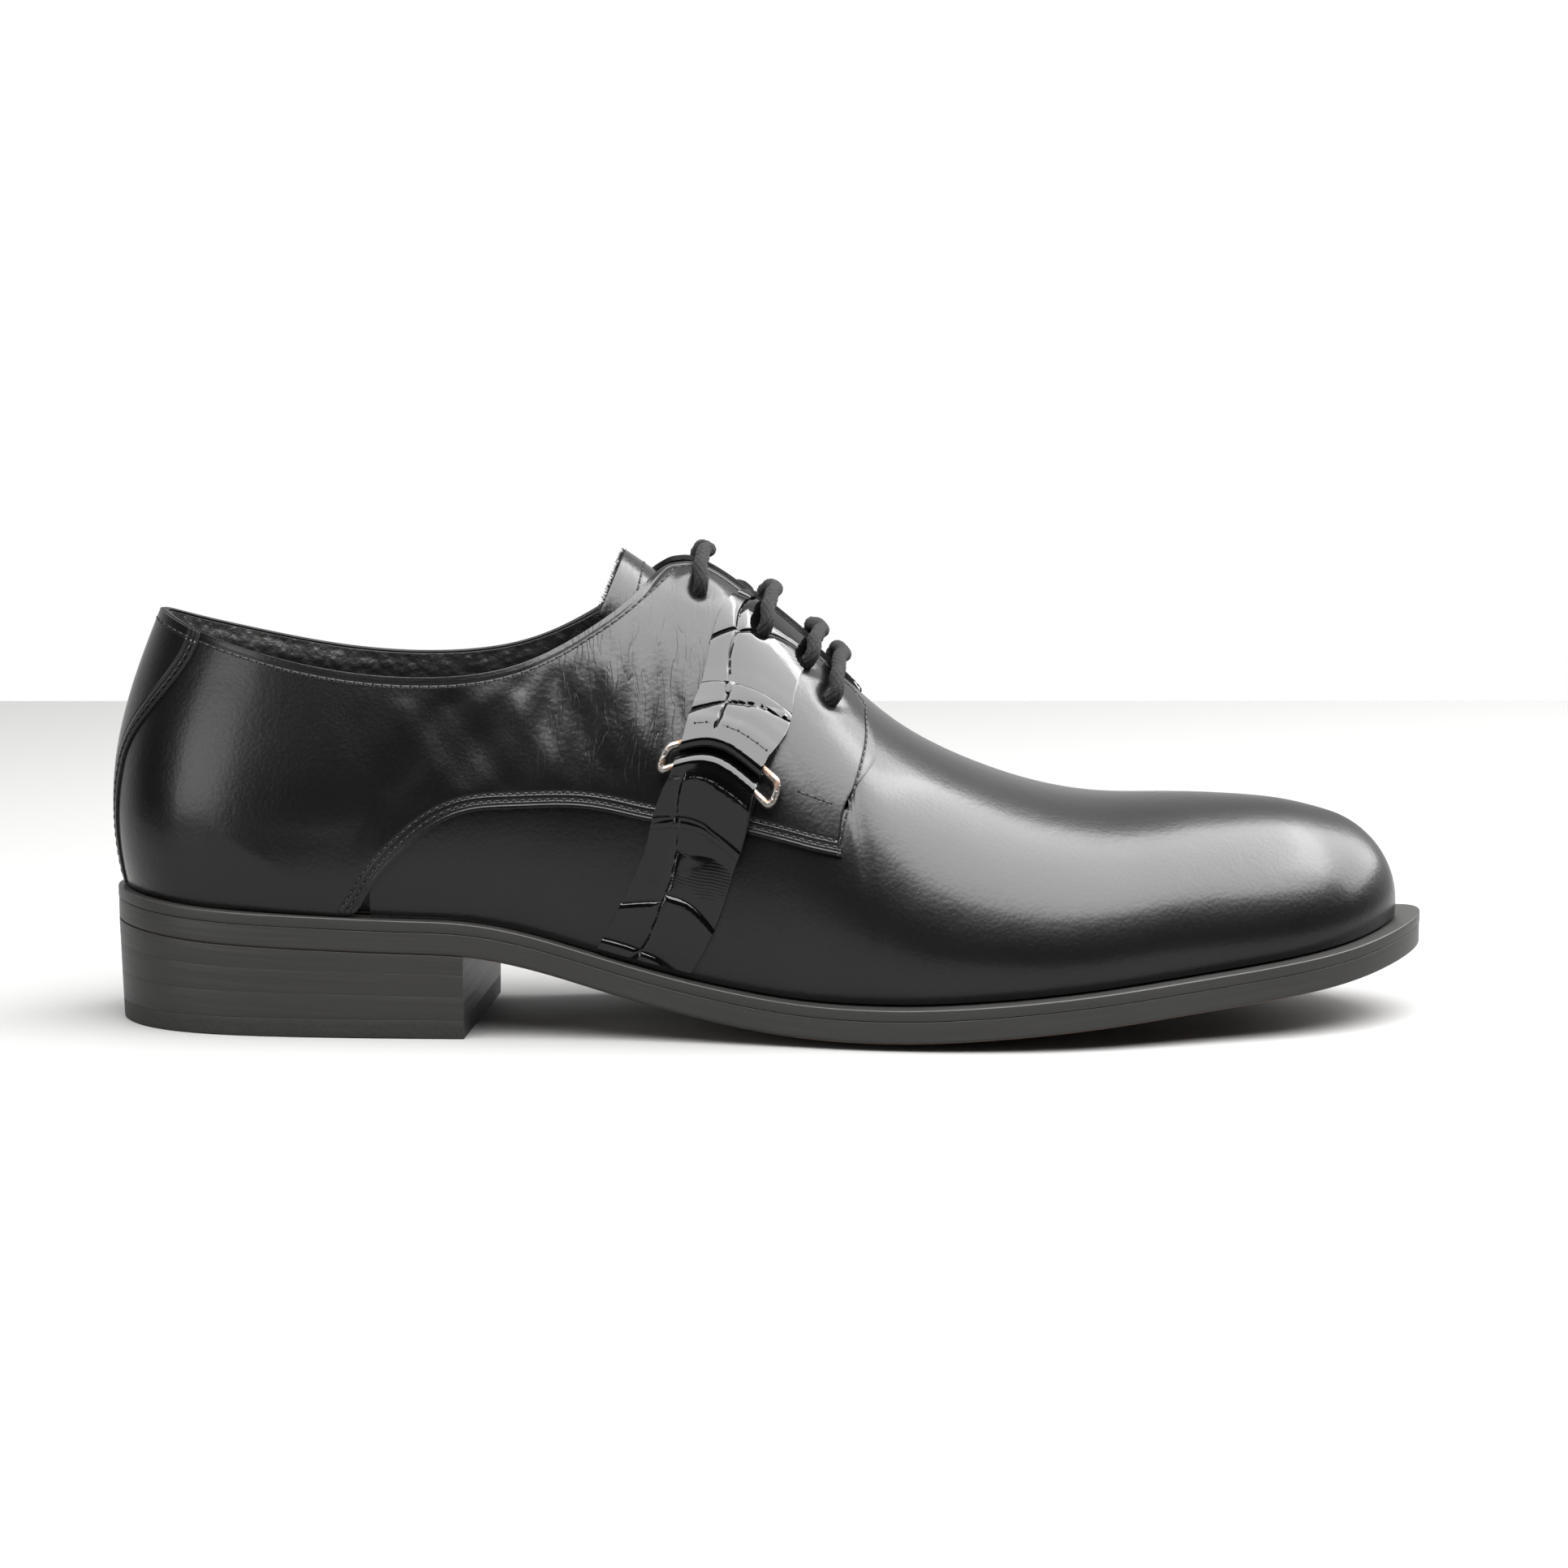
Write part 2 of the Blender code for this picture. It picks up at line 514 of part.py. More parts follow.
cols = mirror_columns(np.array([9.86, 10.25, 11, 12, 13, 13.75, 14.5, 15, 15.5, 16.0]))
s = cols[:, None] + np.zeros((1, 9))
h = rows(0 * cols, 1 + 0 * cols, 9)
patch("vamp_lining", s, h, lining_face(s, h) * (1 + 0 * s), LINING, "lining")

cols = mirror_columns(np.array([13, 13.75, 14.5, 15, 15.5, 16.0]))
s = cols[:, None] + np.zeros((1, 9))
patch("toe_puff", s, rows(0.02 + 0 * cols, 1 + 0 * cols, 9), 0 * s - LEATHER - LAYER_GAP, STIFFENER, "fibre")

cols = np.array([0, 0.4, 0.85, 1.4, 2, 2.6])
cols = np.concatenate([-cols[::-1], cols[1:]])
s = cols[:, None] + np.zeros((1, 7))
patch("heel_counter", s, rows(0.02 + 0 * cols, 0.6 - 0.05 * cols**2 / 2.6, 7), 0 * s - LEATHER - LAYER_GAP, STIFFENER,
      "fibre")

# tongue: under the facings it follows the skin, then it rises out of them and arches over the instep
tongue_cols = np.array([10.15, 10.0, 9.85, 9.65, 9.3, 8.9, 8.5, 8.15])
w = np.linspace(-1, 1, 9)
tongue = []
for sc in tongue_cols:
    sink = -8.4 + 5.1 * float(smooth((sc - 9.68) / 0.4))
    side = np.where(w <= 0, sc, 2 * TOE - sc)
    tongue.append(skin(side, 1 - 0.25 * abs(w), sink))
phi = np.radians(74) * w
for cx, cz, wide, drop, back in ((-20.6, 100.6, 17, 17, 1), (-26.6, 105.2, 17, 18, 3), (-32.6, 109.4, 17, 19, 8)):
    tongue.append(np.column_stack([cx - back * (1 - np.cos(phi)), wide * np.sin(phi), cz - drop * (1 - np.cos(phi))]))
tongue = np.array(tongue)
du, dv = np.gradient(tongue, axis=0), np.gradient(tongue, axis=1)
tn = np.cross(du, dv)
tn /= np.linalg.norm(tn, axis=2)[:, :, None]
tn *= np.sign(tn[:, :, 2:3].mean())
hinge = tongue[0, 4] - 1.0 * tn[0, 4]
for name, depth, thick, look in (("tongue", 0.6, 1.2, "calf"), ("tongue_lining", 2.0, 0.8, "lining")):
    obj = shell(name, tongue - tn * depth, thick, look)
    obj.data.transform(Matrix.Translation(-Vector(hinge) * MM))
    obj.location = Vector(hinge) * MM


# ---------------------------------------------------------------- lace holes
def frame_at(s, h, side):
    """Centre on the skin, outward normal, direction to the ridge, direction to the toe."""
    ss = side_s(s, side)
    p, e = skin(ss, h), 1e-3
    up = skin(ss, h + e) - skin(ss, h - e)
    up /= np.linalg.norm(up)
    toe = (skin(side_s(s + e, side), h) - skin(side_s(s - e, side), h))
    n = skin(ss, h, 1.0) - p
    toe = toe - up * np.dot(toe, up)
    return p, n, up, toe / np.linalg.norm(toe)


hole_cutters = {}
for side in (-1, 1):
    bm = bmesh.new()
    for s_, h_, _ in HOLES:
        p, n, up, toe = frame_at(s_, h_, side)
        turn = Vector((0, 0, 1)).rotation_difference(Vector(n)).to_matrix().to_4x4()
        bmesh.ops.create_cone(bm, cap_ends=True, segments=12, radius1=HOLE_RADIUS * MM, radius2=HOLE_RADIUS * MM,
                              depth=10 * MM, matrix=Matrix.Translation(Vector(p) * MM) @ turn)
    hole_cutters[side] = finish("lace_holes_lateral" if side < 0 else "lace_holes_medial", bm, None, cutters)


# ---------------------------------------------------------------- straps and rings
def edge_curve(points, t):
    """Quadratic through three (s, h) points at t = 0, 0.5, 1."""
    a, b, c = (np.array(p) for p in points)
    t = np.asarray(t)[..., None]
    return a * (1 - t) * (1 - 2 * t) + b * 4 * t * (1 - t) + c * t * (2 * t - 1)


def square_step(a, side):
    """The change of (s, h) for 1 mm square to the ring's middle line, upwards, at the share a along it."""
    (s0, h0), (s1, h1) = RING_LINE
    s_, h_, e = s0 + (s1 - s0) * a, h0 + (h1 - h0) * a, 1e-3
    ps = (skin(side_s(s_ + e, side), h_) - skin(side_s(s_ - e, side), h_)) / (2 * e)
    ph = (skin(side_s(s_, side), h_ + e) - skin(side_s(s_, side), h_ - e)) / (2 * e)
    line = skin(side_s(s1, side), h1) - skin(side_s(s0, side), h0)
    v = np.cross(np.cross(ps, ph), line)
    v *= np.sign(np.dot(v, ph)) / np.linalg.norm(v)
    step = np.linalg.lstsq(np.column_stack([ps, ph]), v, rcond=None)[0]
    return np.array([s_, h_]), step


def strap_points(edges, side, across, profile):
    """Points of a strap's middle layer: profile is (distance from the ring's middle, height over the base)."""
    t = np.linspace(-0.12, 1, 141)
    upwards = 1 if edges[0][2][1] > edges[0][0][1] else -1
    columns = []
    for a in across:
        sh = edge_curve(edges[0], t) * (1 - a) + edge_curve(edges[1], t) * a
        p = skin(side_s(sh[:, 0], side), sh[:, 1])
        run = np.concatenate([[0], np.cumsum(np.linalg.norm(np.diff(p, axis=0), axis=1))])
        run -= np.interp(0, t, run)
        length = run[-1]
        d = np.array([q if q < 20 else 20 + (q - 20) * (length - 20) / 1000 for q, _ in profile])
        start, step = square_step(a, side)
        far = smooth((d - 7) / 16)[:, None]
        near_sh = start + upwards * d[:, None] * step
        sh = near_sh * (1 - far) + np.column_stack([np.interp(d, run, sh[:, 0]), np.interp(d, run, sh[:, 1])]) * far
        ss, hh = sh[:, 0], sh[:, 1]
        near = 1 - smooth((abs(d) - 12) / 8)
        off = OVERLAP_LIFT * near + strap_base(ss, hh) * (1 - near) + np.array([z for _, z in profile])
        columns.append(skin(side_s(ss, side), hh, off))
    return np.array(columns)


FLAP, OVER = 0.45 + STRAP / 2, 2.35
LOOP = WIRE_RADIUS + 0.45 + STRAP / 2
BAR_Z = FLAP + LOOP
LOOP_PROFILE = [(RING_HALF + LOOP * math.sin(a), BAR_Z + LOOP * math.cos(a))
                for a in np.radians(np.arange(0, -181, -30))]
# distances over 20 mm stand for a share of the rest of the strap, 1020 being its end
STRAP_PROFILE = ([(20 + 1000 * f, FLAP) for f in (1, 0.85, 0.7, 0.55, 0.4, 0.25, 0.12, 0.0)]
                 + [(16.0, 1.0), (13.5, 1.6), (11.5, OVER), (7.6, OVER), (5.4, 3.2)] + LOOP_PROFILE
                 + [(5.6, FLAP), (9.5, FLAP)])


def straps(side, label):
    across = np.linspace(0.065, 0.935, 5)
    up = shell(f"strap_upper_{label}", strap_points(UPPER_EDGES, side, across, STRAP_PROFILE), STRAP, "patent")
    upper_straps.append(up)
    shell(f"strap_lower_{label}", strap_points(LOWER_EDGES, side, across, STRAP_PROFILE), STRAP, "patent")
    # the ring: its bars follow the two bar axes, and its ends have round corners past the straps
    wide = np.linalg.norm(np.diff(skin([side_s(RING_LINE[0][0], side), side_s(RING_LINE[1][0], side)],
                                       [RING_LINE[0][1], RING_LINE[1][1]]), axis=0))
    reach = (RING_LENGTH / 2 - RING_CORNER - WIRE_RADIUS) / wide

    def bar(edges, a, out):
        one = strap_points(edges, side, [a], [(out, BAR_Z)])
        return one[0, 0]
    loop = []
    for a in np.linspace(0.5 - reach, 0.5 + reach, 7):
        loop.append(bar(UPPER_EDGES, a, RING_HALF))
    for k, (a, first, last) in enumerate(((0.5 + reach, UPPER_EDGES, LOWER_EDGES),
                                          (0.5 - reach, LOWER_EDGES, UPPER_EDGES))):
        p, q = bar(first, a, RING_HALF), bar(last, a, RING_HALF)
        along = loop[-1] - loop[-2]
        along /= np.linalg.norm(along)
        over = (q - p) / np.linalg.norm(q - p)
        for base, way, angles in ((p, over, (30, 60, 90)), (q, -over, (90, 60, 30))):
            for ang in np.radians(angles):
                loop.append(base + RING_CORNER * (along * math.sin(ang) + way * (1 - math.cos(ang))))
        if k == 0:
            for a2 in np.linspace(0.5 + reach, 0.5 - reach, 7):
                loop.append(bar(LOWER_EDGES, a2, RING_HALF))
    loop = np.array(loop)
    centre = loop.mean(axis=0)
    obj = tube(f"strap_ring_{label}", loop - centre, WIRE_RADIUS, "ring", cyclic=True)
    obj.location = Vector(centre) * MM


def tube(name, points, radius, look, cyclic=False):
    curve = bpy.data.curves.new(name, "CURVE")
    curve.dimensions = "3D"
    line = curve.splines.new("POLY")
    line.points.add(len(points) - 1)
    for point, p in zip(line.points, points):
        point.co = (*(Vector(p) * MM), 1)
    line.use_cyclic_u = cyclic
    curve.bevel_depth, curve.bevel_resolution, curve.use_fill_caps = radius * MM, 2, not cyclic
    obj = bpy.data.objects.new(name, curve)
    parts.objects.link(obj)
    curve.materials.append(material(name, *LOOKS[look]))
    return obj


both_sides(straps)
for i, side in enumerate((-1, 1)):
    for obj in (quarters[i], stays[i], quarter_lining, upper_straps[i]):
        cut(obj, hole_cutters[side])


# ---------------------------------------------------------------- lace: one cord, straight bars, ends inside
UNDER = -5.7         # the cord's centre inside the lining


def down(hole, side, turn, depth=UNDER):
    """Points through a hole from above to below: turn is the direction taken inside."""
    s_, h_, top = HOLES[hole]
    p, n, up, toe = frame_at(s_, h_, side)
    inside = turn[0] * up + turn[1] * toe
    inside = inside / np.linalg.norm(inside)
    bend, low = 2.4, 2.3
    return [p + up * 5.5 + n * (top + 0.3), p + up * bend * 1.05 + n * top, p + up * 0.72 + n * (top - 0.72),
            p + n * (top - bend), p + n * (depth + low), p + inside * 0.68 + n * (depth + 0.68),
            p + inside * low * 1.05 + n * depth]


def bar_over(hole):
    """The visible bar from the lateral hole to the medial one, over the ridge."""
    s_, h_, top = HOLES[hole]
    hs = np.linspace(h_ + 0.085, 1, 4)[:-1]
    lat = skin(s_ + 0 * hs, hs, top + 0.4)
    med = skin(2 * TOE - s_ + 0 * hs, hs, top + 0.4)[::-1]
    return [*lat, skin([s_], [1.0], top + 0.4)[0], *med]


def under(points):
    return [skin([side_s(s_, side)], [h_], UNDER - (deep[0] if deep else 0))[0] for s_, h_, side, *deep in points]


path = []
path += under([(10.9, 0.20, -1, 1.5), (10.4, 0.2, -1, 0.8), (9.9, 0.22, -1), (9.5, 0.30, -1), (9.25, 0.42, -1),
               (9.05, 0.56, -1), (8.95, 0.68, -1)])
path += down(2, -1, (-1, 0))[::-1] + bar_over(2) + down(2, 1, (-1, 0.35))
path += under([(9.22, 0.725, 1, 0.4), (9.42, 0.69, 1, 0.4)])
path += down(0, 1, (-1, -0.35))[::-1] + bar_over(0)[::-1] + down(0, -1, (0.3, -1))
path += down(1, -1, (-0.3, 1))[::-1] + bar_over(1) + down(1, 1, (0.7, -1))
path += under([(9.0, 0.848, 1, 0.6), (8.7, 0.845, 1, 0.6)])
path += down(3, 1, (0.7, 1))[::-1] + bar_over(3)[::-1] + down(3, -1, (-1, 0))
path += under([(8.25, 0.66, -1), (8.35, 0.52, -1), (8.5, 0.38, -1), (8.8, 0.25, -1), (9.3, 0.155, -1), (9.8, 0.125, -1, 0.8),
               (10.3, 0.13, -1, 1.8)])
path = np.array(path)


def smooth_path(p, step):
    """Catmull-Rom through the points, read at even steps, finer where it bends."""
    q = [2 * p[0] - p[1], *p, 2 * p[-1] - p[-2]]
    fine = []
    for i in range(1, len(q) - 2):
        a, b, c, d = q[i - 1], q[i], q[i + 1], q[i + 2]
        for t in np.linspace(0, 1, 12, endpoint=False):
            fine.append(0.5 * (2 * b + (c - a) * t + (2 * a - 5 * b + 4 * c - d) * t**2 + (3 * b - a - 3 * c + d) * t**3))
    fine = np.array(fine + [p[-1]])
    keep, last, turned = [fine[0]], 0, 0.0
    for i in range(1, len(fine) - 1):
        a, b = fine[i] - fine[i - 1], fine[i + 1] - fine[i]
        turned += math.acos(np.clip(np.dot(a, b) / np.linalg.norm(a) / np.linalg.norm(b), -1, 1))
        if turned > math.radians(33) or np.linalg.norm(fine[i] - keep[-1]) > step:
            keep.append(fine[i])
            turned = 0.0
    return np.array(keep + [fine[-1]])


cord = smooth_path(path, 11.0)
tube("lace", cord, LACE_RADIUS, "lace")
for number, (end, back) in enumerate(((cord[0], cord[1]), (cord[-1], cord[-2])), 1):
    way = Vector(end - back).normalized()
    bm = bmesh.new()
    turn = Vector((0, 0, 1)).rotation_difference(way).to_matrix().to_4x4()
    bmesh.ops.create_cone(bm, cap_ends=True, segments=10, radius1=1.35 * MM, radius2=1.35 * MM, depth=18 * MM,
                          matrix=Matrix.Translation((Vector(end) + way * 9.35) * MM) @ turn)
    finish(f"aglet_{number}", bm, "plastic")

# ---------------------------------------------------------------- origin: middle of the box's underside
bpy.context.view_layer.update()
graph = bpy.context.evaluated_depsgraph_get()
low, high = np.full(3, 1e9), np.full(3, -1e9)
for obj in parts.objects:
    mesh = obj.evaluated_get(graph).to_mesh()
    pts = np.array([obj.matrix_world @ v.co for v in mesh.vertices])
    low, high = np.minimum(low, pts.min(axis=0)), np.maximum(high, pts.max(axis=0))
    obj.evaluated_get(graph).to_mesh_clear()
shift = Vector((-(low[0] + high[0]) / 2, -(low[1] + high[1]) / 2, -low[2]))
for obj in [*parts.objects, *cutters.objects]:
    obj.location = obj.location + shift
bpy.context.view_layer.update()
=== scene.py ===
"""Black leather derby: the fine surface, seams, straps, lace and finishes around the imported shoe.

Lengths are in millimetres until a mesh is made; +X is the toe, -Y the outer (lateral) side.
skin(s, h, off) is the upper: s runs round the feather line from the heel (0) over the lateral side to
the toe tip (16) and back, h climbs from the feather line (0) to the collar or the ridge (1).
"""
import math

import bmesh
import bpy
import numpy as np
from mathutils import Matrix, Vector


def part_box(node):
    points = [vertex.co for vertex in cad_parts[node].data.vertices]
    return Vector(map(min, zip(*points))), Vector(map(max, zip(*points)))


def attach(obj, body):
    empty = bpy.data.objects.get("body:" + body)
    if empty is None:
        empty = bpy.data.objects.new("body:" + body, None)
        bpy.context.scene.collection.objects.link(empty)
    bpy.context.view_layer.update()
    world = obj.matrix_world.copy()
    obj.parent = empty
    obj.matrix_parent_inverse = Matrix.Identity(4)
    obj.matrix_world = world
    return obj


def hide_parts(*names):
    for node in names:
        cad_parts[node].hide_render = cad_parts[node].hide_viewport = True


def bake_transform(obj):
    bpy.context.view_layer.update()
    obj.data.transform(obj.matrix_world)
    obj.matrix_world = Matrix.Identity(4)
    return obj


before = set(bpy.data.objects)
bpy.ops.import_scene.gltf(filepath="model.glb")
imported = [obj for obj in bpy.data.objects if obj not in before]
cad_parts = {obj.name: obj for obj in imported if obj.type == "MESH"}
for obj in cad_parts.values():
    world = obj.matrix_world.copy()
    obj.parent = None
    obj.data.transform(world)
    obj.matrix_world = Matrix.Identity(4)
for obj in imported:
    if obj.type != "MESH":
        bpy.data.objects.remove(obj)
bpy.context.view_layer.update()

MM = 0.001
TOE = 16
RING_TURN = 2 * TOE

LEATHER, LINING, STRAP = 1.2, 0.8, 1.0
OVERLAP_LIFT = 1.25     # the quarter's rise where it lies on the vamp
STRAP_LIFT = 1.7        # the same under the rings, where the straps stand a little off
WELT, OUTSOLE, GAP = 2.6, 4.9, 0.3
TOP_PIECE = 4.4
PITCH, STITCH = 2.15, 1.55              # one stitch to the next, and the thread that shows
HOLE_SHADE_RADIUS, HOLE_SHADE_DEPTH = 0.33, 0.07    # flat near-black discs at the needle holes: painted shade
MERGE = 0.004           # points of one sheet closer than this are one
RIDGE_CAP = 0.985       # above this share of the height the skin turns to lie along the ridge
THROAT = 7.9            # from this station to the toe the two sides meet on the ridge
CARRIERS, LAY = 8.0, 0.47               # the braid's yarns round the lace, and their turns for each mm
TONGUE_ACROSS, TONGUE_ALONG = 57, 110   # points in the tongue's sheet
HEEL_TAPER = 0.9
BREAST_LATERAL, BREAST_MEDIAL = -69.0, -64.0
LACE_RADIUS = 1.65
WIRE_RADIUS, RING_LENGTH, RING_HALF, RING_CORNER = 0.95, 29.0, 2.7, 1.2

# station: foot x, lateral y, medial y, top x, top y, top z,
#          low handle out, low handle up, high handle out, high handle down, sole edge lateral, medial
STATIONS = [
    (-149.8, 0.0, 0.0, -140.3, 0.0, 96.0, 6.6, 24.0, 10.0, 24.0, 2.0, 2.0),
    (-143.2, -17.0, 17.0, -134.5, 11.0, 93.4, 6.2, 23.0, 8.5, 22.0, 2.2, 2.2),
    (-127.0, -27.0, 27.0, -121.5, 20.5, 89.2, 5.0, 22.0, 5.5, 20.0, 2.5, 2.2),
    (-103.0, -31.0, 29.5, -101.0, 26.5, 84.6, 5.5, 20.0, 5.0, 19.0, 2.8, 2.0),
    (-78.0, -32.5, 27.5, -79.0, 29.0, 82.8, 4.5, 20.0, 4.5, 18.0, 3.0, 1.8),
    (-54.0, -33.2, 26.0, -59.0, 29.0, 85.0, 4.6, 22.0, 5.5, 18.0, 3.2, 1.8),
    (-33.0, -34.6, 27.2, -43.0, 25.5, 92.0, 4.7, 27.0, 9.0, 16.0, 3.4, 2.0),
    (-14.0, -37.4, 31.0, -29.5, 18.5, 101.5, 4.8, 33.0, 15.0, 12.0, 3.8, 2.6),
    (2.0, -40.5, 35.5, -17.5, 0.0, 108.0, 5.0, 37.0, 28.0, 0.0, 4.2, 3.4),
    (17.0, -44.0, 40.5, 2.0, 0.0, 95.4, 5.2, 32.0, 31.0, 0.0, 4.5, 4.0),
    (34.0, -47.0, 44.5, 25.9, 0.0, 72.6, 5.2, 25.0, 32.0, 0.0, 4.6, 4.4),
    (53.0, -47.8, 47.0, 50.0, 0.0, 59.0, 5.0, 20.0, 33.0, 0.0, 4.6, 4.6),
    (75.0, -45.3, 46.2, 73.0, 0.0, 52.7, 4.0, 18.0, 31.0, 0.0, 4.6, 4.6),
    (98.0, -37.3, 40.3, 93.0, 0.0, 52.0, 3.5, 17.0, 26.0, 0.0, 4.7, 4.7),
    (120.0, -29.0, 33.4, 110.0, 0.0, 51.5, 3.3, 16.0, 19.0, 0.0, 5.0, 5.0),
    (138.5, -16.5, 22.3, 123.5, 0.0, 50.0, 3.5, 15.0, 13.0, 0.0, 5.4, 5.4),
    (148.2, 3.5, 3.5, 132.0, 0.0, 47.8, 3.6, 13.0, 8.5, 0.0, 5.8, 5.8),
]
# height of the welt's top along the shoe, and of the ridge line over the instep and toes (x, z)
SEAT = [(-152, 31.2), (-131, 29.3), (-108, 28.3), (-82, 27.5), (-69, 26.9), (-52, 23.6), (-37, 19.2),
        (-22, 15.2), (-8, 12.3), (7, 10.2), (22, 9.5), (36, 9.7), (58, 11.1), (84, 13.5), (103, 15.4),
        (122, 17.6), (138, 20.2), (154, 24.4)]
RIDGE = [(-17.5, 108.0), (-10, 103.6), (-2.5, 98.6), (5, 93.2), (11, 87.8), (18.5, 80), (25.9, 72.6),
         (37.4, 65.4), (52.6, 57.9), (67.8, 53.6), (80, 52.3), (92, 52.1), (106, 51.7), (121, 50.4),
         (133, 47.5)]
# lower edge of the quarter (s, h), and its front edge as (h, s)
QUARTER_LOW = [(3.2, 0.0), (3.38, 0.02), (3.51, 0.11), (3.78, 0.25), (4.1, 0.365), (4.47, 0.434),
               (4.9, 0.452), (5.42, 0.449), (6.04, 0.418), (6.55, 0.378), (7.3, 0.328), (8.0, 0.295),
               (8.6, 0.297), (9.38, 0.325)]
QUARTER_FRONT = [(0.3, 9.36), (0.42, 9.59), (0.5, 9.73), (0.6, 9.86), (0.72, 9.95), (0.82, 9.96),
                 (0.89, 9.9), (0.92, 9.78)]
# lace holes from the toe end to the top: s, h and the height the lace needs over them
HOLES = [(9.57, 0.734, 3.7), (9.35, 0.799, 4.1), (8.92, 0.775, 3.5), (8.2, 0.783, 2.1)]
RING_LINE = [(7.14, 0.478), (8.55, 0.385)]
UPPER_EDGES = [[(7.14, 0.478), (7.95, 0.59), (8.70, 0.905)], [(8.55, 0.385), (9.16, 0.60), (9.47, 0.905)]]
LOWER_EDGES = [[(7.14, 0.478), (6.38, 0.30), (5.66, 0.015)], [(8.55, 0.385), (7.72, 0.21), (6.93, 0.015)]]


# ---------------------------------------------------------------- curves and the skin
class Spline:
    """Natural cubic spline through rows of (t, values...)."""

    def __init__(self, knots):
        k = np.array(knots, float)
        self.t, self.y = k[:, 0], k[:, 1:]
        n, h = len(self.t), np.diff(self.t)
        a, r = np.zeros((n, n)), np.zeros((n, self.y.shape[1]))
        a[0, 0] = a[-1, -1] = 1
        for i in range(1, n - 1):
            a[i, i - 1], a[i, i], a[i, i + 1] = h[i - 1], 2 * (h[i - 1] + h[i]), h[i]
            r[i] = 3 * ((self.y[i + 1] - self.y[i]) / h[i] - (self.y[i] - self.y[i - 1]) / h[i - 1])
        self.c, self.h = np.linalg.solve(a, r), h

    def __call__(self, x, slope=False):
        x = np.atleast_1d(np.asarray(x, float))
        i = np.clip(np.searchsorted(self.t, x, side="right") - 1, 0, len(self.t) - 2)
        d, h, c = (x - self.t[i])[:, None], self.h[i][:, None], self.c
        b = (self.y[i + 1] - self.y[i]) / h - h * (2 * c[i] + c[i + 1]) / 3
        e = (c[i + 1] - c[i]) / (3 * h)
        if slope:
            return b + 2 * c[i] * d + 3 * e * d**2
        return self.y[i] + b * d + c[i] * d**2 + e * d**3


def smooth(x):
    x = np.clip(x, 0.0, 1.0)
    return x * x * (3 - 2 * x)


def ridge_y(x):
    return 3.5 * smooth((np.asarray(x, float) - 30) / 100)


def station_rows():
    """The stations round the whole ring, with three repeated at each end so that it closes smoothly."""
    rows = []
    for k in range(-3, RING_TURN + 4):
        i = abs((k + RING_TURN) % RING_TURN)
        medial = i > TOE
        st = STATIONS[RING_TURN - i if medial else i]
        fx, ly, my, tx, ty, tz, lo, lu, ho, hd, el, em = st
        side = 1 if medial else -1
        rows.append((k, fx, my if medial else ly, tx, float(ridge_y(tx)) + side * ty, tz, lo, lu, ho, hd,
                     em if medial else el))
    return rows


seat_curve, ridge_curve, ring_curve = Spline(SEAT), Spline(RIDGE), Spline(station_rows())
low_curve, front_curve = Spline(QUARTER_LOW), Spline(QUARTER_FRONT)


def seat(x):
    return seat_curve(x)[:, 0]


def feather(s, out=0.0):
    """Plan point on the feather line, moved outwards by out."""
    s = np.asarray(s, float) % RING_TURN
    v, d = ring_curve(s), ring_curve(s, slope=True)
    n = np.stack([d[:, 1], -d[:, 0]], 1)
    n /= np.linalg.norm(n, axis=1)[:, None]
    return v[:, :2] + n * np.broadcast_to(out, len(v))[:, None], n


def sole_edge(s):
    return ring_curve(np.asarray(s, float) % RING_TURN)[:, 9]


def rib(s, h):
    s = s % RING_TURN
    v = ring_curve(s)
    f2, n = feather(s)
    foot = np.column_stack([f2, seat(f2[:, 0]) + 0.6])
    top = v[:, 2:5]
    p1, p2 = foot.copy(), top.copy()
    p1[:, :2] += n * v[:, 5:6]
    p1[:, 2] += v[:, 6]
    p1[:, 0] += 0.12 * (top[:, 0] - foot[:, 0])
    p2[:, :2] += n * v[:, 7:8]
    slope = ridge_curve(np.clip(top[:, 0], -17, 133), slope=True)[:, 0]
    weight = np.clip(s - 7, 0, 1) * np.clip(RING_TURN - 7 - s, 0, 1)
    p2[:, 2] += weight * slope * (p2[:, 0] - top[:, 0]) - v[:, 8]
    h = h[:, None]
    return (1 - h) ** 3 * foot + 3 * (1 - h) ** 2 * h * p1 + 3 * (1 - h) * h**2 * p2 + h**3 * top


# the CAD frame's origin against the stations' own: the outsole's box gives it
_ends = feather(np.arange(RING_TURN), sole_edge(np.arange(RING_TURN)))[0]
_low, _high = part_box("outsole")
ORIGIN = np.array([*((np.array(_low) + np.array(_high))[:2] / 2 / MM - (_ends.min(0) + _ends.max(0)) / 2), 0.0])


def skin(s, h, off=0.0):
    """Points of the upper, shape (..., 3), in mm."""
    s, h, off = np.broadcast_arrays(np.asarray(s, float), np.asarray(h, float), np.asarray(off, float))
    shape = s.shape
    s, h, off = s.ravel(), h.ravel(), off.ravel()
    p = rib(s, h)
    e, hs = 1e-3, np.clip(h, 0.002, RIDGE_CAP)
    n = np.cross(rib(s + e, hs) - rib(s - e, hs), rib(s, hs + e) - rib(s, hs - e))
    n /= np.linalg.norm(n, axis=1)[:, None]
    fold_s = np.where(s % RING_TURN > TOE, RING_TURN - s % RING_TURN, s % RING_TURN)
    slope = ridge_curve(np.clip(p[:, 0], -17, 133), slope=True)[:, 0]
    flat = np.column_stack([-slope, 0 * slope, 1 + 0 * slope])
    flat /= np.linalg.norm(flat, axis=1)[:, None]
    top = (smooth((h - RIDGE_CAP) / 0.015) * (fold_s > THROAT))[:, None]
    n = n * (1 - top) + flat * top
    n /= np.linalg.norm(n, axis=1)[:, None]
    return (p + n * off[:, None]).reshape(*shape, 3)


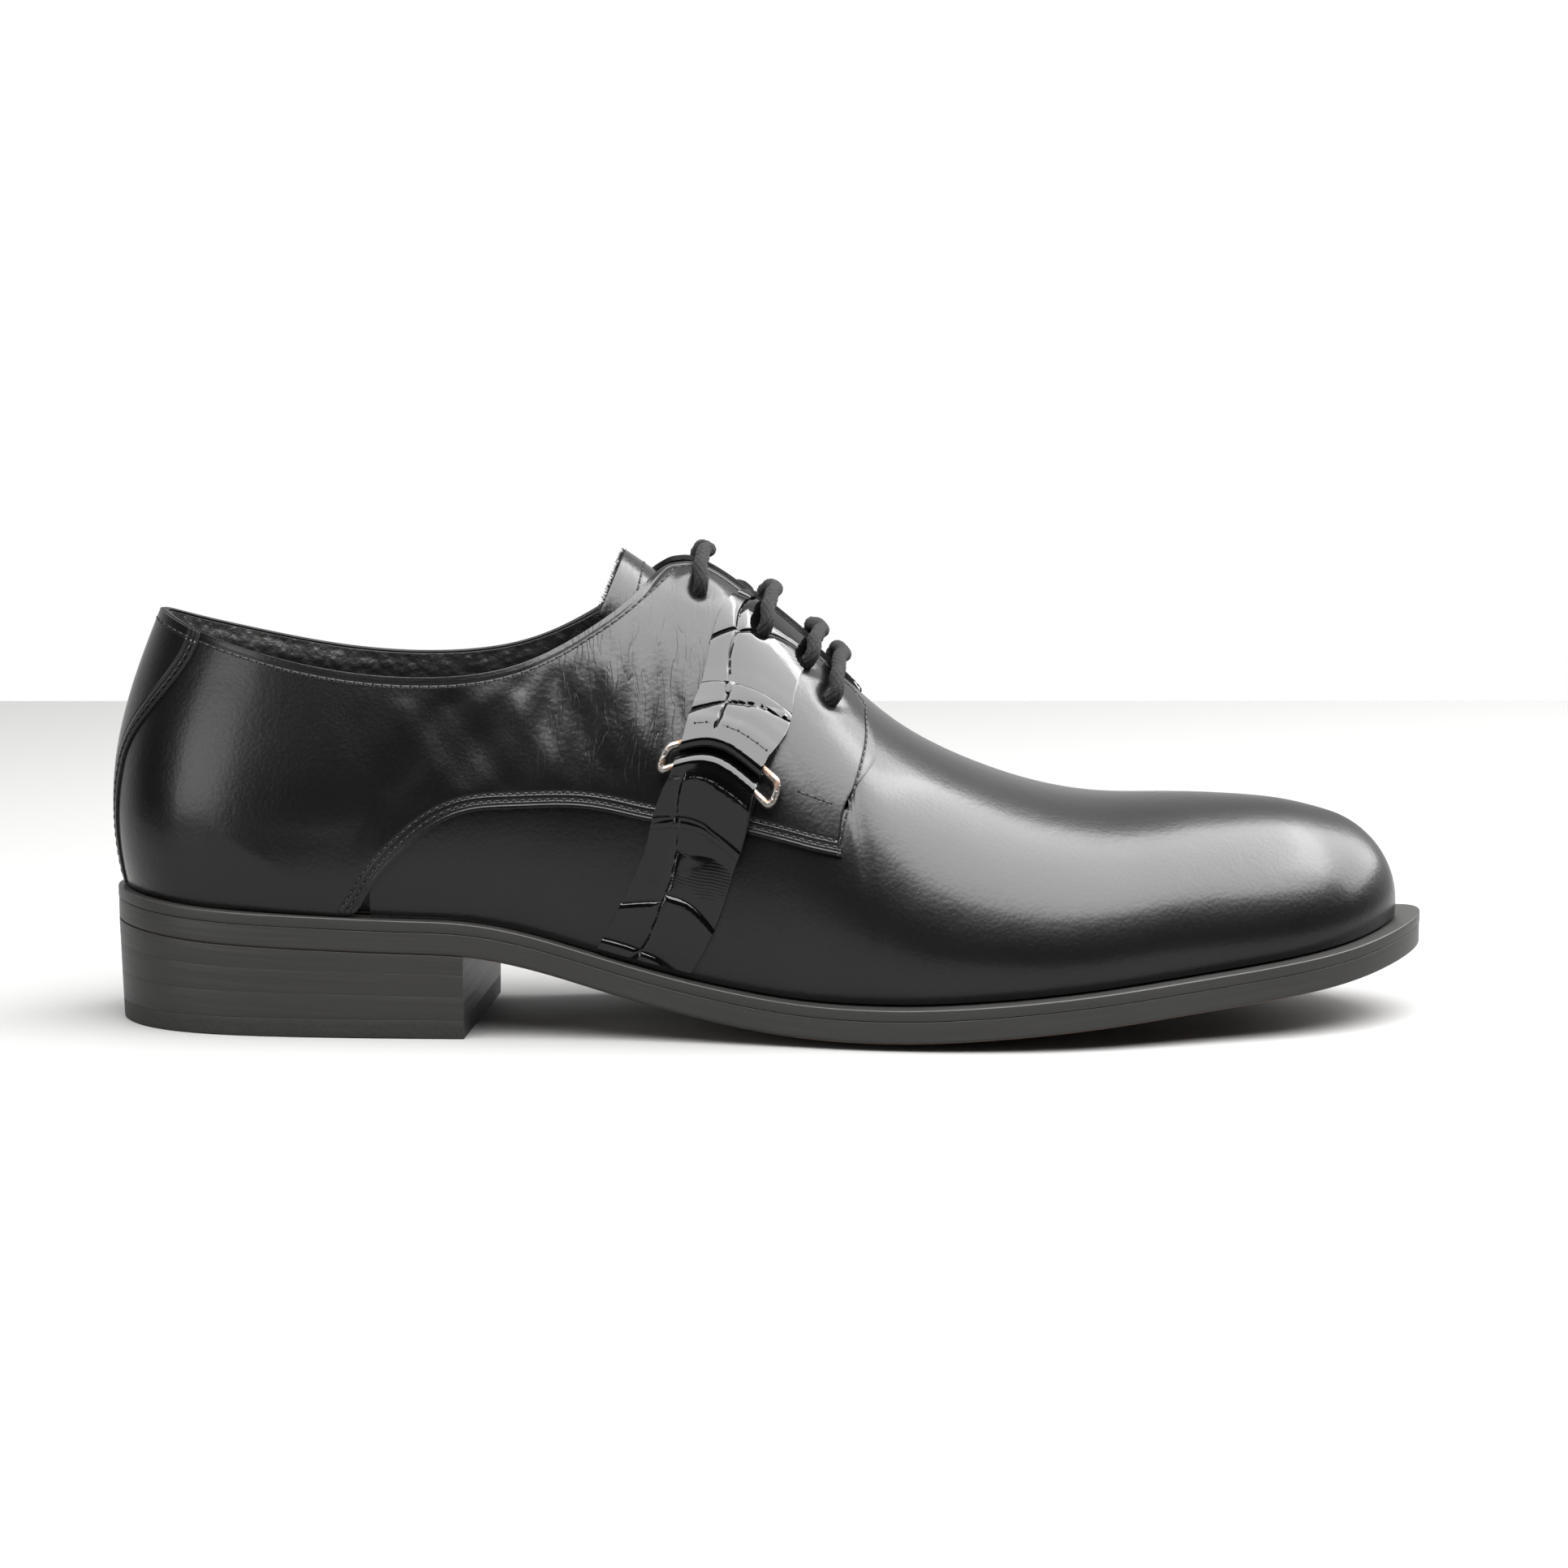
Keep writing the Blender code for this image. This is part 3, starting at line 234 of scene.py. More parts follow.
def fold(s):
    """The same place counted on the lateral side, for features that both sides share."""
    s = np.asarray(s, float) % RING_TURN
    return np.where(s > TOE, RING_TURN - s, s)


def side_s(s, side):
    return s if side < 0 else RING_TURN - s


def quarter_low(s):
    s = fold(s)
    low = np.maximum(low_curve(np.clip(s.ravel(), 3.2, 9.4))[:, 0].reshape(s.shape), 0.0)
    return np.where(s < 3.3, 0.0, low)


def quarter_top(s):
    return 1 - 0.085 * smooth((fold(s) - 7.35) / 0.65)


def vamp_top(s):
    s = fold(s)
    low = quarter_low(s) + 0.115
    return np.where(s < 9.2, low, np.clip(low + (1.02 - low) * smooth((s - 9.56) / 0.22), 0, 1))


def under_quarter(s, h):
    """Distance in mm inside the quarter's lower and front edges, negative on the bare vamp."""
    s, h = np.broadcast_arrays(fold(s), np.asarray(h, float))
    front = front_curve(np.clip(h.ravel(), 0.3, 0.92))[:, 0].reshape(h.shape)
    return np.maximum(np.minimum((h - quarter_low(s)) * 88, (front - s) * 22), (3.35 - s) * 20)


def lift(s, h):
    """How high the quarter lies over the vamp's face."""
    inside = under_quarter(s, h)
    return OVERLAP_LIFT * (1 - smooth((inside - 1.0) / 28))


def strap_base(s, h):
    """What a strap lies on: the quarter, and below the quarter's edge the vamp."""
    s, h = np.broadcast_arrays(fold(s), np.asarray(h, float))
    low = quarter_low(s)
    return lift(s, np.maximum(h, low)) * smooth((h - low + 0.06) / 0.07)


def lining_face(s, h):
    """Outer face of the lining, lowered under the counter and the facing stays."""
    s, h = np.broadcast_arrays(fold(s), np.asarray(h, float))
    heel = 1 - smooth((s - 2.8) / 0.7)
    facing = smooth((s - 7.4) / 0.5) * (1 - smooth((s - 9.95) / 0.3)) * smooth((h - 0.56) / 0.1)
    facing = np.maximum(facing, smooth((s - 8.9) / 0.4) * (1 - smooth((s - 9.95) / 0.3)))
    return -1.8 - 0.9 * np.maximum(heel, facing)


def lengths(p):
    """Distance run along a path, from 0."""
    return np.concatenate([[0], np.cumsum(np.linalg.norm(np.diff(p, axis=0), axis=1))])


def spread(s0, s1, step, h=0.3):
    """Stations from s0 to s1, one every step mm along the skin."""
    s = np.linspace(s0, s1, 800)
    run = lengths(skin(s, h))
    return np.interp(np.linspace(0, run[-1], int(run[-1] / step) + 2), run, s)


def eased(n, ends=0.5):
    """0 to 1 in n steps that are closer together at both ends."""
    t = np.linspace(0, 1, n)
    return t * (1 - ends) + (0.5 - 0.5 * np.cos(math.pi * t)) * ends


# ---------------------------------------------------------------- materials
class Wire:
    """A value on its way through a material's nodes: arithmetic on it adds Math nodes."""

    def __init__(self, net, socket):
        self.net, self.socket = net, socket

    def math(self, operation, *values):
        return self.net.node("ShaderNodeMath", *values, operation=operation)

    def __add__(self, other):
        return self.math("ADD", self, other)

    def __radd__(self, other):
        return self.math("ADD", other, self)

    def __sub__(self, other):
        return self.math("SUBTRACT", self, other)

    def __rsub__(self, other):
        return self.math("SUBTRACT", other, self)

    def __mul__(self, other):
        return self.math("MULTIPLY", self, other)

    def __rmul__(self, other):
        return self.math("MULTIPLY", other, self)

    def __truediv__(self, other):
        return self.math("DIVIDE", self, other)

    def sine(self):
        return self.math("SINE", self)

    def size(self):
        return self.math("ABSOLUTE", self)

    def step(self, low, high):
        """0 below low, 1 over high, and smooth between."""
        return self.net.node("ShaderNodeMapRange", self, low, high, 0.0, 1.0, interpolation_type="SMOOTHSTEP")

    def hump(self, centre, half):
        """1 at centre, falling to 0 at half away from it."""
        return 1 - ((self - centre).size() / half).step(0.0, 1.0)


class Finish:
    """One material: constants go on the shader's sockets, varying values through feed()."""

    def __init__(self, name, **constants):
        self.material = bpy.data.materials.new(name)
        self.material.use_nodes = True
        self.tree = self.material.node_tree
        self.shader = self.tree.nodes["Principled BSDF"]
        for socket, value in constants.items():
            self.shader.inputs[socket.replace("_", " ")].default_value = value

    def node(self, kind, *inputs, out=0, sockets=None, **settings):
        made = self.tree.nodes.new(kind)
        for key, value in settings.items():
            setattr(made, key, value)
        for key, value in [*enumerate(inputs), *(sockets or {}).items()]:
            if isinstance(value, Wire):
                self.tree.links.new(value.socket, made.inputs[key])
            elif value is not None:
                made.inputs[key].default_value = value
        return Wire(self, made.outputs[out])

    def place(self):
        return self.node("ShaderNodeTexCoord", out="Object")

    def split(self, vector):
        made = self.node("ShaderNodeSeparateXYZ", vector)
        return [Wire(self, made.socket.node.outputs[i]) for i in range(3)]

    def uv(self):
        return self.split(self.node("ShaderNodeUVMap", uv_map="along"))[:2]

    def attribute(self, name):
        return self.node("ShaderNodeAttribute", out="Fac", attribute_name=name)

    def stretched(self, vector, scale, turn=(0, 0, 0)):
        return self.node("ShaderNodeMapping", vector, sockets={"Scale": scale, "Rotation": turn})

    def noise(self, vector, scale, detail=2.0, rough=0.5):
        return self.node("ShaderNodeTexNoise", sockets={
            "Vector": vector, "Scale": scale, "Detail": detail, "Roughness": rough})

    def cells(self, vector, scale, feature="F1", out="Distance"):
        return self.node("ShaderNodeTexVoronoi", out=out, feature=feature,
                         sockets={"Vector": vector, "Scale": scale})

    def shifted(self, vector, amount, scale):
        """The vector pushed about by noise, for patterns with wavering lines."""
        drift = self.node("ShaderNodeTexNoise", out="Color", sockets={"Vector": vector, "Scale": scale})
        moved = self.node("ShaderNodeVectorMath", drift, (0.5, 0.5, 0.5), operation="SUBTRACT")
        moved = self.node("ShaderNodeVectorMath", moved, (amount,) * 3, operation="MULTIPLY")
        return self.node("ShaderNodeVectorMath", vector, moved, operation="ADD")

    def mix(self, share, a, b):
        made = self.node("ShaderNodeMix", data_type="RGBA", out=2)
        for index, value in ((0, share), (6, a), (7, b)):
            if isinstance(value, Wire):
                self.tree.links.new(value.socket, made.socket.node.inputs[index])
            else:
                made.socket.node.inputs[index].default_value = (
                    value if index == 0 or len(value) == 4 else (*value, 1))
        return made

    def feed(self, **values):
        for key, value in values.items():
            self.tree.links.new(value.socket, self.shader.inputs[key.replace("_", " ")])
        return self

    def bump(self, *layers):
        """Layers of (height, depth in metres), one Bump node after another."""
        normal = None
        for height, depth in layers:
            normal = self.node("ShaderNodeBump", sockets={
                "Strength": 1.0, "Distance": depth, "Height": height, "Normal": normal})
        return self.feed(Normal=normal)


BLACK = (0.0014, 0.0014, 0.0015)


def grained(finish, place, size, wander=0.0004):
    """Pebbled leather grain of that cell size in metres, 0 in the creases and 1 on the pebbles."""
    cells = finish.cells(finish.shifted(place, wander, 900.0), 1 / size, feature="SMOOTH_F1")
    fine = finish.noise(place, 2.4 / size, 2.0)
    return 1 - cells * 1.1 + fine * 0.35


def calf(name, seams=True):
    """Smooth black calf with a satin finish: fine grain, softer and coarser at the waist, and pressed seams."""
    f = Finish(name, Coat_Weight=0.12, Coat_Roughness=0.16, Specular_IOR_Level=0.24)
    p = f.place()
    x, _, z = f.split(p)
    broad = f.noise(p, 34.0, 3.0)
    cloud = f.noise(p, 9.0, 2.0)
    waist = (x + 0.030).size().step(0.036, 0.008) * (z - 0.082).size().step(0.032, 0.008)
    grain = grained(f, p, 0.00085)
    coarse = grained(f, f.stretched(p, (1.0, 1.0, 1.4), (0, 0.5, 0)), 0.0016, 0.0009)
    # short creases that fan down from the collar at the waist
    q = f.stretched(f.shifted(p, 0.006, 60.0), (420.0, 60.0, 60.0), (0, -0.45, 0))
    fan = f.noise(q, 1.0, 2.0).hump(0.5, 0.035) * waist
    layers = [(broad, 0.0004), (grain, 0.00003), (coarse * waist, 0.00004), (1 - fan, 0.00005)]
    if seams:
        low, top = f.attribute("low_edge"), f.attribute("top_edge")
        pressed = (low.hump(1.9, 0.55) + low.hump(3.4, 0.6) + top.hump(2.2, 0.6)
                   + low.hump(0.95, 0.3) * 0.7)
        layers.append((1 - pressed, 0.00022))
    f.feed(Base_Color=f.mix(broad.step(0.35, 0.7), BLACK, (0.0021, 0.0021, 0.0021)),
           Roughness=0.235 + cloud * 0.08 + grain * 0.03)
    return f.bump(*layers).material


def patent():
    """Embossed patent strap: mirror gloss, fine drawn lines across it and slightly wavy."""
    f = Finish("patent", Roughness=0.07, Coat_Weight=0.2, Coat_Roughness=0.03, Specular_IOR_Level=0.21)
    p = f.place()
    _, v = f.uv()
    wavy = f.noise(p, 120.0, 2.0)
    lines = (v * (2 * math.pi / 0.00075) + f.noise(p, 260.0) * 3.0).sine()
    patchy = f.noise(p, 90.0, 2.0).step(0.42, 0.6)
    scuff = f.noise(f.stretched(p, (300.0, 300.0, 1500.0)), 1.0, 3.0).step(0.62, 0.8)
    f.feed(Base_Color=f.mix(wavy, (0.0008, 0.0008, 0.0009), (0.0014, 0.0014, 0.0016)),
           Roughness=0.05 + scuff * 0.10 + patchy * 0.03)
    return f.bump((wavy, 0.00012), (lines * patchy, 0.0000045)).material


def lining():
    f = Finish("lining_leather", Specular_IOR_Level=0.25)
    p = f.place()
    grain = grained(f, p, 0.0019, 0.0012)
    f.feed(Base_Color=f.mix(grain, (0.003, 0.003, 0.003), (0.011, 0.0108, 0.0105)),
           Roughness=0.38 + f.noise(p, 60.0) * 0.2)
    return f.bump((f.noise(p, 55.0), 0.0006), (grain, 0.00045)).material


def raw_edge(name="cut_edge", colour=(0.005, 0.0049, 0.0049)):
    """Dyed cut edges: fibrous and dull. Made near-black, it also paints the shade in the needle holes."""
    f = Finish(name, Specular_IOR_Level=0.18)
    p = f.place()
    fibre = f.noise(p, 1500.0, 4.0, 0.7)
    f.feed(Base_Color=f.mix(fibre, colour, tuple(2.6 * c for c in colour)), Roughness=0.6 + fibre * 0.3)
    return f.bump((fibre, 0.00025)).material


def sole_dressing():
    """Ink-dressed sole and heel edge: charcoal with fine lines along it, fine nicks and rub marks."""
    f = Finish("edge_dressing", Specular_IOR_Level=0.25)
    p = f.place()
    u, v = f.uv()
    flow = f.node("ShaderNodeCombineXYZ", u * 26.0, v * 1300.0, 0.0)
    streak = f.noise(flow, 1.0, 4.0, 0.6)
    long_streak = f.noise(f.node("ShaderNodeCombineXYZ", u * 9.0, v * 520.0, 3.0), 1.0, 2.0)
    cloud = f.noise(p, 26.0, 3.0)
    nick = f.noise(f.node("ShaderNodeCombineXYZ", u * 900.0 + v * 90.0, v * 40.0, 7.0), 1.0, 2.0)
    nick = nick.step(0.70, 0.78) * f.noise(p, 35.0).step(0.55, 0.72)
    f.feed(Base_Color=f.mix(streak * 0.55 + cloud * 0.45, (0.009, 0.0088, 0.0084), (0.021, 0.0206, 0.0196)),
           Roughness=0.36 + streak * 0.14 + nick * 0.2)
    return f.bump((long_streak, 0.00012), (streak, 0.00006), (1 - nick, 0.00010)).material


def rubber():
    f = Finish("heel_rubber", Specular_IOR_Level=0.22)
    p = f.place()
    speck = f.noise(p, 1200.0, 3.0)
    f.feed(Base_Color=f.mix(speck, (0.008, 0.0079, 0.0076), (0.018, 0.0176, 0.0168)),
           Roughness=0.5 + speck * 0.2)
    return f.bump((speck, 0.00008), (f.noise(p, 60.0, 3.0), 0.0003)).material


def sole_leather():
    """The walking face: brown sole leather with a fine grain and faint rub."""
    f = Finish("sole_leather", Roughness=0.5, Specular_IOR_Level=0.4)
    p = f.place()
    cloud, fine = f.noise(p, 22.0, 4.0), f.noise(p, 900.0, 4.0)
    f.feed(Base_Color=f.mix(cloud * 0.6 + fine * 0.4, (0.055, 0.025, 0.013), (0.12, 0.062, 0.034)),
           Roughness=0.4 + fine * 0.25)
    return f.bump((fine, 0.00012)).material


def worn_metal():
    """Plated ring wire, the plating rubbed through to copper in places."""
    f = Finish("ring_metal", Metallic=1.0, Roughness=0.3)
    p = f.place()
    worn = f.noise(p, 420.0, 4.0, 0.65).step(0.46, 0.60)
    pit = f.noise(p, 1800.0, 3.0).step(0.58, 0.72)
    f.feed(Base_Color=f.mix(worn, (0.20, 0.187, 0.175), (0.165, 0.108, 0.08)),
           Roughness=0.30 + worn * 0.16 + pit * 0.2)
    return f.bump((1 - pit, 0.00010)).material


def steel():
    f = Finish("steel", Metallic=1.0, Roughness=0.35, Base_Color=(0.46, 0.46, 0.47, 1))
    brushed = f.noise(f.stretched(f.place(), (40.0, 1400.0, 1400.0)), 1.0, 3.0)
    f.feed(Base_Color=f.mix(brushed, (0.38, 0.38, 0.39), (0.55, 0.55, 0.56)), Roughness=0.28 + brushed * 0.2)
    return f.bump((brushed, 0.00004)).material


def braid():
    """Braided cotton: carriers crossing both ways, each of several yarns, with the colour darker in the grooves between
    them as painted shade.
    """
    f = Finish("lace_cotton", Specular_IOR_Level=0.15, Sheen_Weight=0.04, Sheen_Roughness=0.5)
    u, v = f.uv()
    a, b = u * CARRIERS + v * (LAY / MM), u * CARRIERS - v * (LAY / MM)
    yarns = ((a * 3 * math.pi).sine().size() + (b * 3 * math.pi).sine().size()) * 0.5
    weave_and_groove_shade = f.attribute("carrier")
    fluff = f.noise(f.place(), 2600.0, 3.0)
    # base colour follows the height of carriers and yarns, darker in the grooves: painted shade; the same heights feed
    # the bumps
    f.feed(Base_Color=f.mix(weave_and_groove_shade * 0.7 + yarns * 0.3, (0.0006, 0.0006, 0.0007), (0.0048, 0.0047, 0.0046)),
           Roughness=0.6 + fluff * 0.25)
    return f.bump((weave_and_groove_shade, 0.00022), (yarns, 0.00008), (fluff, 0.00006)).material


def thread():
    f = Finish("waxed_thread", Specular_IOR_Level=0.35)
    p = f.place()
    twist = f.noise(p, 2400.0, 2.0)
    f.feed(Base_Color=f.mix(twist, (0.0025, 0.0025, 0.0025), (0.008, 0.0079, 0.0078)), Roughness=0.35 + twist * 0.3)
    return f.bump((twist, 0.00008)).material


def board(name, dark, light, scale):
    """Hidden layers: fibreboard, cork and the like."""
    f = Finish(name, Roughness=0.85, Specular_IOR_Level=0.25)
    p = f.place()
    speck = f.cells(p, scale)
    fine = f.noise(p, scale * 3, 4.0)
    f.feed(Base_Color=f.mix(speck * 0.6 + fine * 0.5, dark, light), Roughness=0.75 + fine * 0.2)
    return f.bump((fine, 0.0002)).material


CALF, PLAIN_CALF, PATENT, LINED = calf("calf"), calf("calf_plain", seams=False), patent(), lining()
CUT, DRESSED, RUBBER, BROWN = raw_edge(), sole_dressing(), rubber(), sole_leather()
METAL, STEEL, BRAID, THREAD = worn_metal(), steel(), braid(), thread()
# near-black discs at the needle holes: painted shade of the holes
NEEDLE_HOLE_SHADE = raw_edge("needle_hole_shade", (0.0008, 0.0008, 0.0008))
FIBRE = board("fibreboard", (0.16, 0.11, 0.07), (0.34, 0.25, 0.17), 700.0)
CORK = board("cork", (0.14, 0.08, 0.045), (0.36, 0.24, 0.15), 420.0)


def plastic():
    f = Finish("aglet_plastic", Roughness=0.25)
    haze = f.noise(f.place(), 300.0, 2.0)
    f.feed(Base_Color=f.mix(haze, (0.01, 0.01, 0.01), (0.03, 0.03, 0.03)), Roughness=0.2 + haze * 0.15)
    return f.bump((haze, 0.00003)).material


PLASTIC = plastic()


# ---------------------------------------------------------------- builders
def grid(points, uv=None, **attributes):
    """A mesh from an (nu, nv, 3) array in mm: a bmesh grid whose vertices are moved."""
    nu, nv = points.shape[:2]
    bm = bmesh.new()
    stores = {name: bm.verts.layers.float.new(name) for name in attributes}
    values = {name: np.broadcast_to(a, (nu, nv)).ravel() for name, a in attributes.items()}
    number = bm.verts.layers.int.new("number")
    layer = bm.loops.layers.uv.new("along")
    bmesh.ops.create_grid(bm, x_segments=nu - 1, y_segments=nv - 1, size=1)
    order = sorted(bm.verts, key=lambda v: (round(v.co.x, 5), round(v.co.y, 5)))
    flat = (points + ORIGIN).reshape(-1, 3) * MM
    for i, (vert, p) in enumerate(zip(order, flat)):
        vert.co = p
        vert[number] = i
        for name, store in stores.items():
            vert[store] = values[name][i]
    if uv is not None:
        place = np.broadcast_to(uv, (nu, nv, 2)).reshape(-1, 2) * MM
        for face in bm.faces:
            for loop in face.loops:
                loop[layer].uv = place[loop.vert[number]]
    bmesh.ops.remove_doubles(bm, verts=bm.verts, dist=MERGE * MM)
    bmesh.ops.recalc_face_normals(bm, faces=bm.faces)
    return bm


def piece(name, bm, looks, body, replaces=(), sharp=45):
    mesh = bpy.data.meshes.new(name)
    bm.to_mesh(mesh)
    bm.free()
    for look in looks if isinstance(looks, (list, tuple)) else [looks]:
        mesh.materials.append(look)
    mesh.shade_smooth()
    mesh.set_sharp_from_angle(angle=math.radians(sharp))
    obj = bpy.data.objects.new(name, mesh)
    bpy.context.scene.collection.objects.link(obj)
    if body:
        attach(obj, body)
    if replaces:
        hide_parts(*replaces)
    return obj


def thicken(obj, thick, bevel):
    """Solidify about the middle layer, with a cut edge of its own finish and soft corners."""
    mod = obj.modifiers.new("thickness", "SOLIDIFY")
    mod.thickness, mod.offset, mod.use_even_offset, mod.use_quality_normals = thick * MM, 0, False, True
    mod.material_offset_rim = 1
    soft = obj.modifiers.new("soft_edges", "BEVEL")
    soft.width, soft.segments, soft.limit_method, soft.angle_limit = bevel * MM, 3, "ANGLE", 0.9
    soft.harden_normals = False


def near(points, path):
    """Distance in mm from each point to a densely sampled path."""
    flat = points.reshape(-1, 3)
    best = np.full(len(flat), 1e9)
    for block in np.array_split(path, max(1, len(path) // 60)):
        best = np.minimum(best, np.linalg.norm(flat[:, None] - block[None], axis=2).min(1))
    return best.reshape(points.shape[:-1])


# ---------------------------------------------------------------- quarter outline and seams
def outline():
    """The quarter's edges as (s, h): collar and facing, front, then bottom and arc back to the heel."""
    s_top = np.linspace(0.0, 9.78, 420)
    top = np.column_stack([s_top, quarter_top(s_top)])
    h_front = np.linspace(0.915, 0.325, 60)
    front = np.column_stack([front_curve(np.clip(h_front, 0.3, 0.92))[:, 0], h_front])
    s_low = np.concatenate([np.linspace(9.38, 4.2, 260), np.linspace(4.2, 3.36, 90)[1:]])
    low = np.column_stack([s_low, quarter_low(s_low)])
    return top, front, low


def derivatives(s, h, side):
    e = 1e-3
    s = side_s(np.asarray(s, float), side)
    h = np.clip(h, 0.003, 0.995)
    ps = (skin(s + e, h) - skin(s - e, h)) / (2 * e) * (1 if side < 0 else -1)
    ph = (skin(s, h + e) - skin(s, h - e)) / (2 * e)
    return ps, ph


def inset(path, side, distance, trim=None):
    """An (s, h) path moved sideways over the skin by distance mm, to the left of its run on the lateral side."""
    path = np.asarray(path, float)
    ps, ph = derivatives(path[:, 0], path[:, 1], side)
    d = np.gradient(path, axis=0)
    tangent = ps * d[:, :1] + ph * d[:, 1:]
    normal = np.cross(ps, ph)
    across = np.cross(tangent, normal)
    across /= np.linalg.norm(across, axis=1)[:, None]
    moved = path.copy()
    for i in range(len(path)):
        step = np.linalg.lstsq(np.column_stack([ps[i], ph[i]]), across[i] * distance, rcond=None)[0]
        moved[i] += step
    if trim is not None:
        where = skin(side_s(moved[:, 0], side), moved[:, 1])
        moved = moved[near(where, trim) > abs(distance) * 0.93]
    return moved


def stitch_row(name, path, side, height, pitch=PITCH, length=STITCH, sunk=0.0):
    """Thread along an (s, h) path: one low spindle for each stitch, lying in the pressed line."""
    path = np.asarray(path, float)
    fine = np.column_stack([np.interp(np.linspace(0, 1, 8 * len(path)), np.linspace(0, 1, len(path)), path[:, k])
                            for k in (0, 1)])
    up = height(fine[:, 0], fine[:, 1]) if callable(height) else height + 0 * fine[:, 0]
    p = skin(side_s(fine[:, 0], side), fine[:, 1], up + sunk)
    q = skin(side_s(fine[:, 0], side), fine[:, 1], up + sunk + 1)
    return threads(name, p, q - p, "shoe", pitch, length)


def threads(name, p, n, body, pitch=PITCH, length=STITCH, width=0.52, thick=0.4):
    """Stitches along a line of points with their outward directions, and between each two a flat near-black disc at the
    needle hole, painted shade.
    """
    run = lengths(p)
    bm = bmesh.new()
    count = max(1, int(run[-1] / pitch))
    # flat near-black discs where the needle holes are: painted shade of the holes
    for at in np.arange(count + 1) * run[-1] / count:
        hole = np.array([np.interp(at, run, p[:, j]) for j in range(3)])
        up = Vector([np.interp(at, run, n[:, j]) for j in range(3)])
        turn = Vector((0, 0, 1)).rotation_difference(up).to_matrix().to_4x4()
        bmesh.ops.create_uvsphere(bm, u_segments=8, v_segments=4, radius=1, matrix=(
            Matrix.Translation(Vector(hole + ORIGIN) * MM) @ turn
            @ Matrix.Diagonal((HOLE_SHADE_RADIUS * MM, HOLE_SHADE_RADIUS * MM, HOLE_SHADE_DEPTH * MM, 1))))
    holes = len(bm.faces)
    for at in (np.arange(count) + 0.5) * run[-1] / count:
        a, b = (np.array([np.interp(at + k * length / 2, run, p[:, j]) for j in range(3)]) for k in (-1, 1))
        up = np.array([np.interp(at, run, n[:, j]) for j in range(3)])
        x = Vector(b - a).normalized()
        z = Vector(up).normalized()
        y = z.cross(x).normalized()
        z = x.cross(y)
        turn = Matrix((x, y, z)).transposed().to_4x4()
        size = Matrix.Diagonal((length / 2 * MM, width / 2 * MM, thick / 2 * MM, 1))
        place = Matrix.Translation(Vector((a + b) / 2 + ORIGIN) * MM)
        bmesh.ops.create_uvsphere(bm, u_segments=6, v_segments=5, radius=1,
                                  matrix=place @ turn @ size @ Matrix.Rotation(math.pi / 2, 4, "Y"))
    # the disc faces take the second slot, the painted hole shade
    for i, face in enumerate(bm.faces):
        face.material_index = int(i < holes)
    return piece(name, bm, [THREAD, NEEDLE_HOLE_SHADE], body, sharp=80)


# ---------------------------------------------------------------- upper: vamp
cols = spread(3.5, TOE, 1.25)
cols = np.concatenate([cols, RING_TURN - cols[::-1][1:]])     # both sides meet in the same points on the ridge
rows = eased(72, 0.35)[None, :]
vs = cols[:, None] + 0 * rows
vh = vamp_top(vs) * rows
inside = under_quarter(vs, vh)
vamp_off = -1.25 * smooth((inside - 1.0) / 6.0) * (fold(vs) < 9.9)
vamp = piece("upper_vamp", grid(skin(vs, vh, vamp_off - LEATHER / 2)), [PLAIN_CALF, CUT], "shoe", ["vamp"])
thicken(vamp, LEATHER, 0.2)


# ---------------------------------------------------------------- upper: quarters
def dimples(s, h):
    """Slow unevenness where the leather isn't held by the lace or the heel counter."""
    s = fold(s)
    soft = smooth((s - 3.0) / 1.2) * (1 - smooth((s - 7.6) / 0.8))
    soft = soft * smooth((h - 0.45) / 0.1) * smooth((0.97 - h) / 0.1)
    wave = np.sin(5.1 * s + 9 * h) * 0.5 + np.sin(8.7 * s - 17 * h + 1.3) * 0.35 + np.sin(15 * s + 23 * h) * 0.12
    return 0.42 * soft * wave


def puckers(s, h, side):
    """The leather drawn down a little round each lace hole."""
    total = 0
    p = skin(side_s(s, side), h)
    for s_, h_, _ in HOLES:
        c = skin(np.array([side_s(s_, side)]), np.array([h_]))[0]
        r = np.linalg.norm(p - c, axis=-1)
        total = total - 0.75 * np.exp(-(r / 2.6) ** 2) + 0.16 * np.exp(-((r - 5.0) / 2.2) ** 2)
    return total


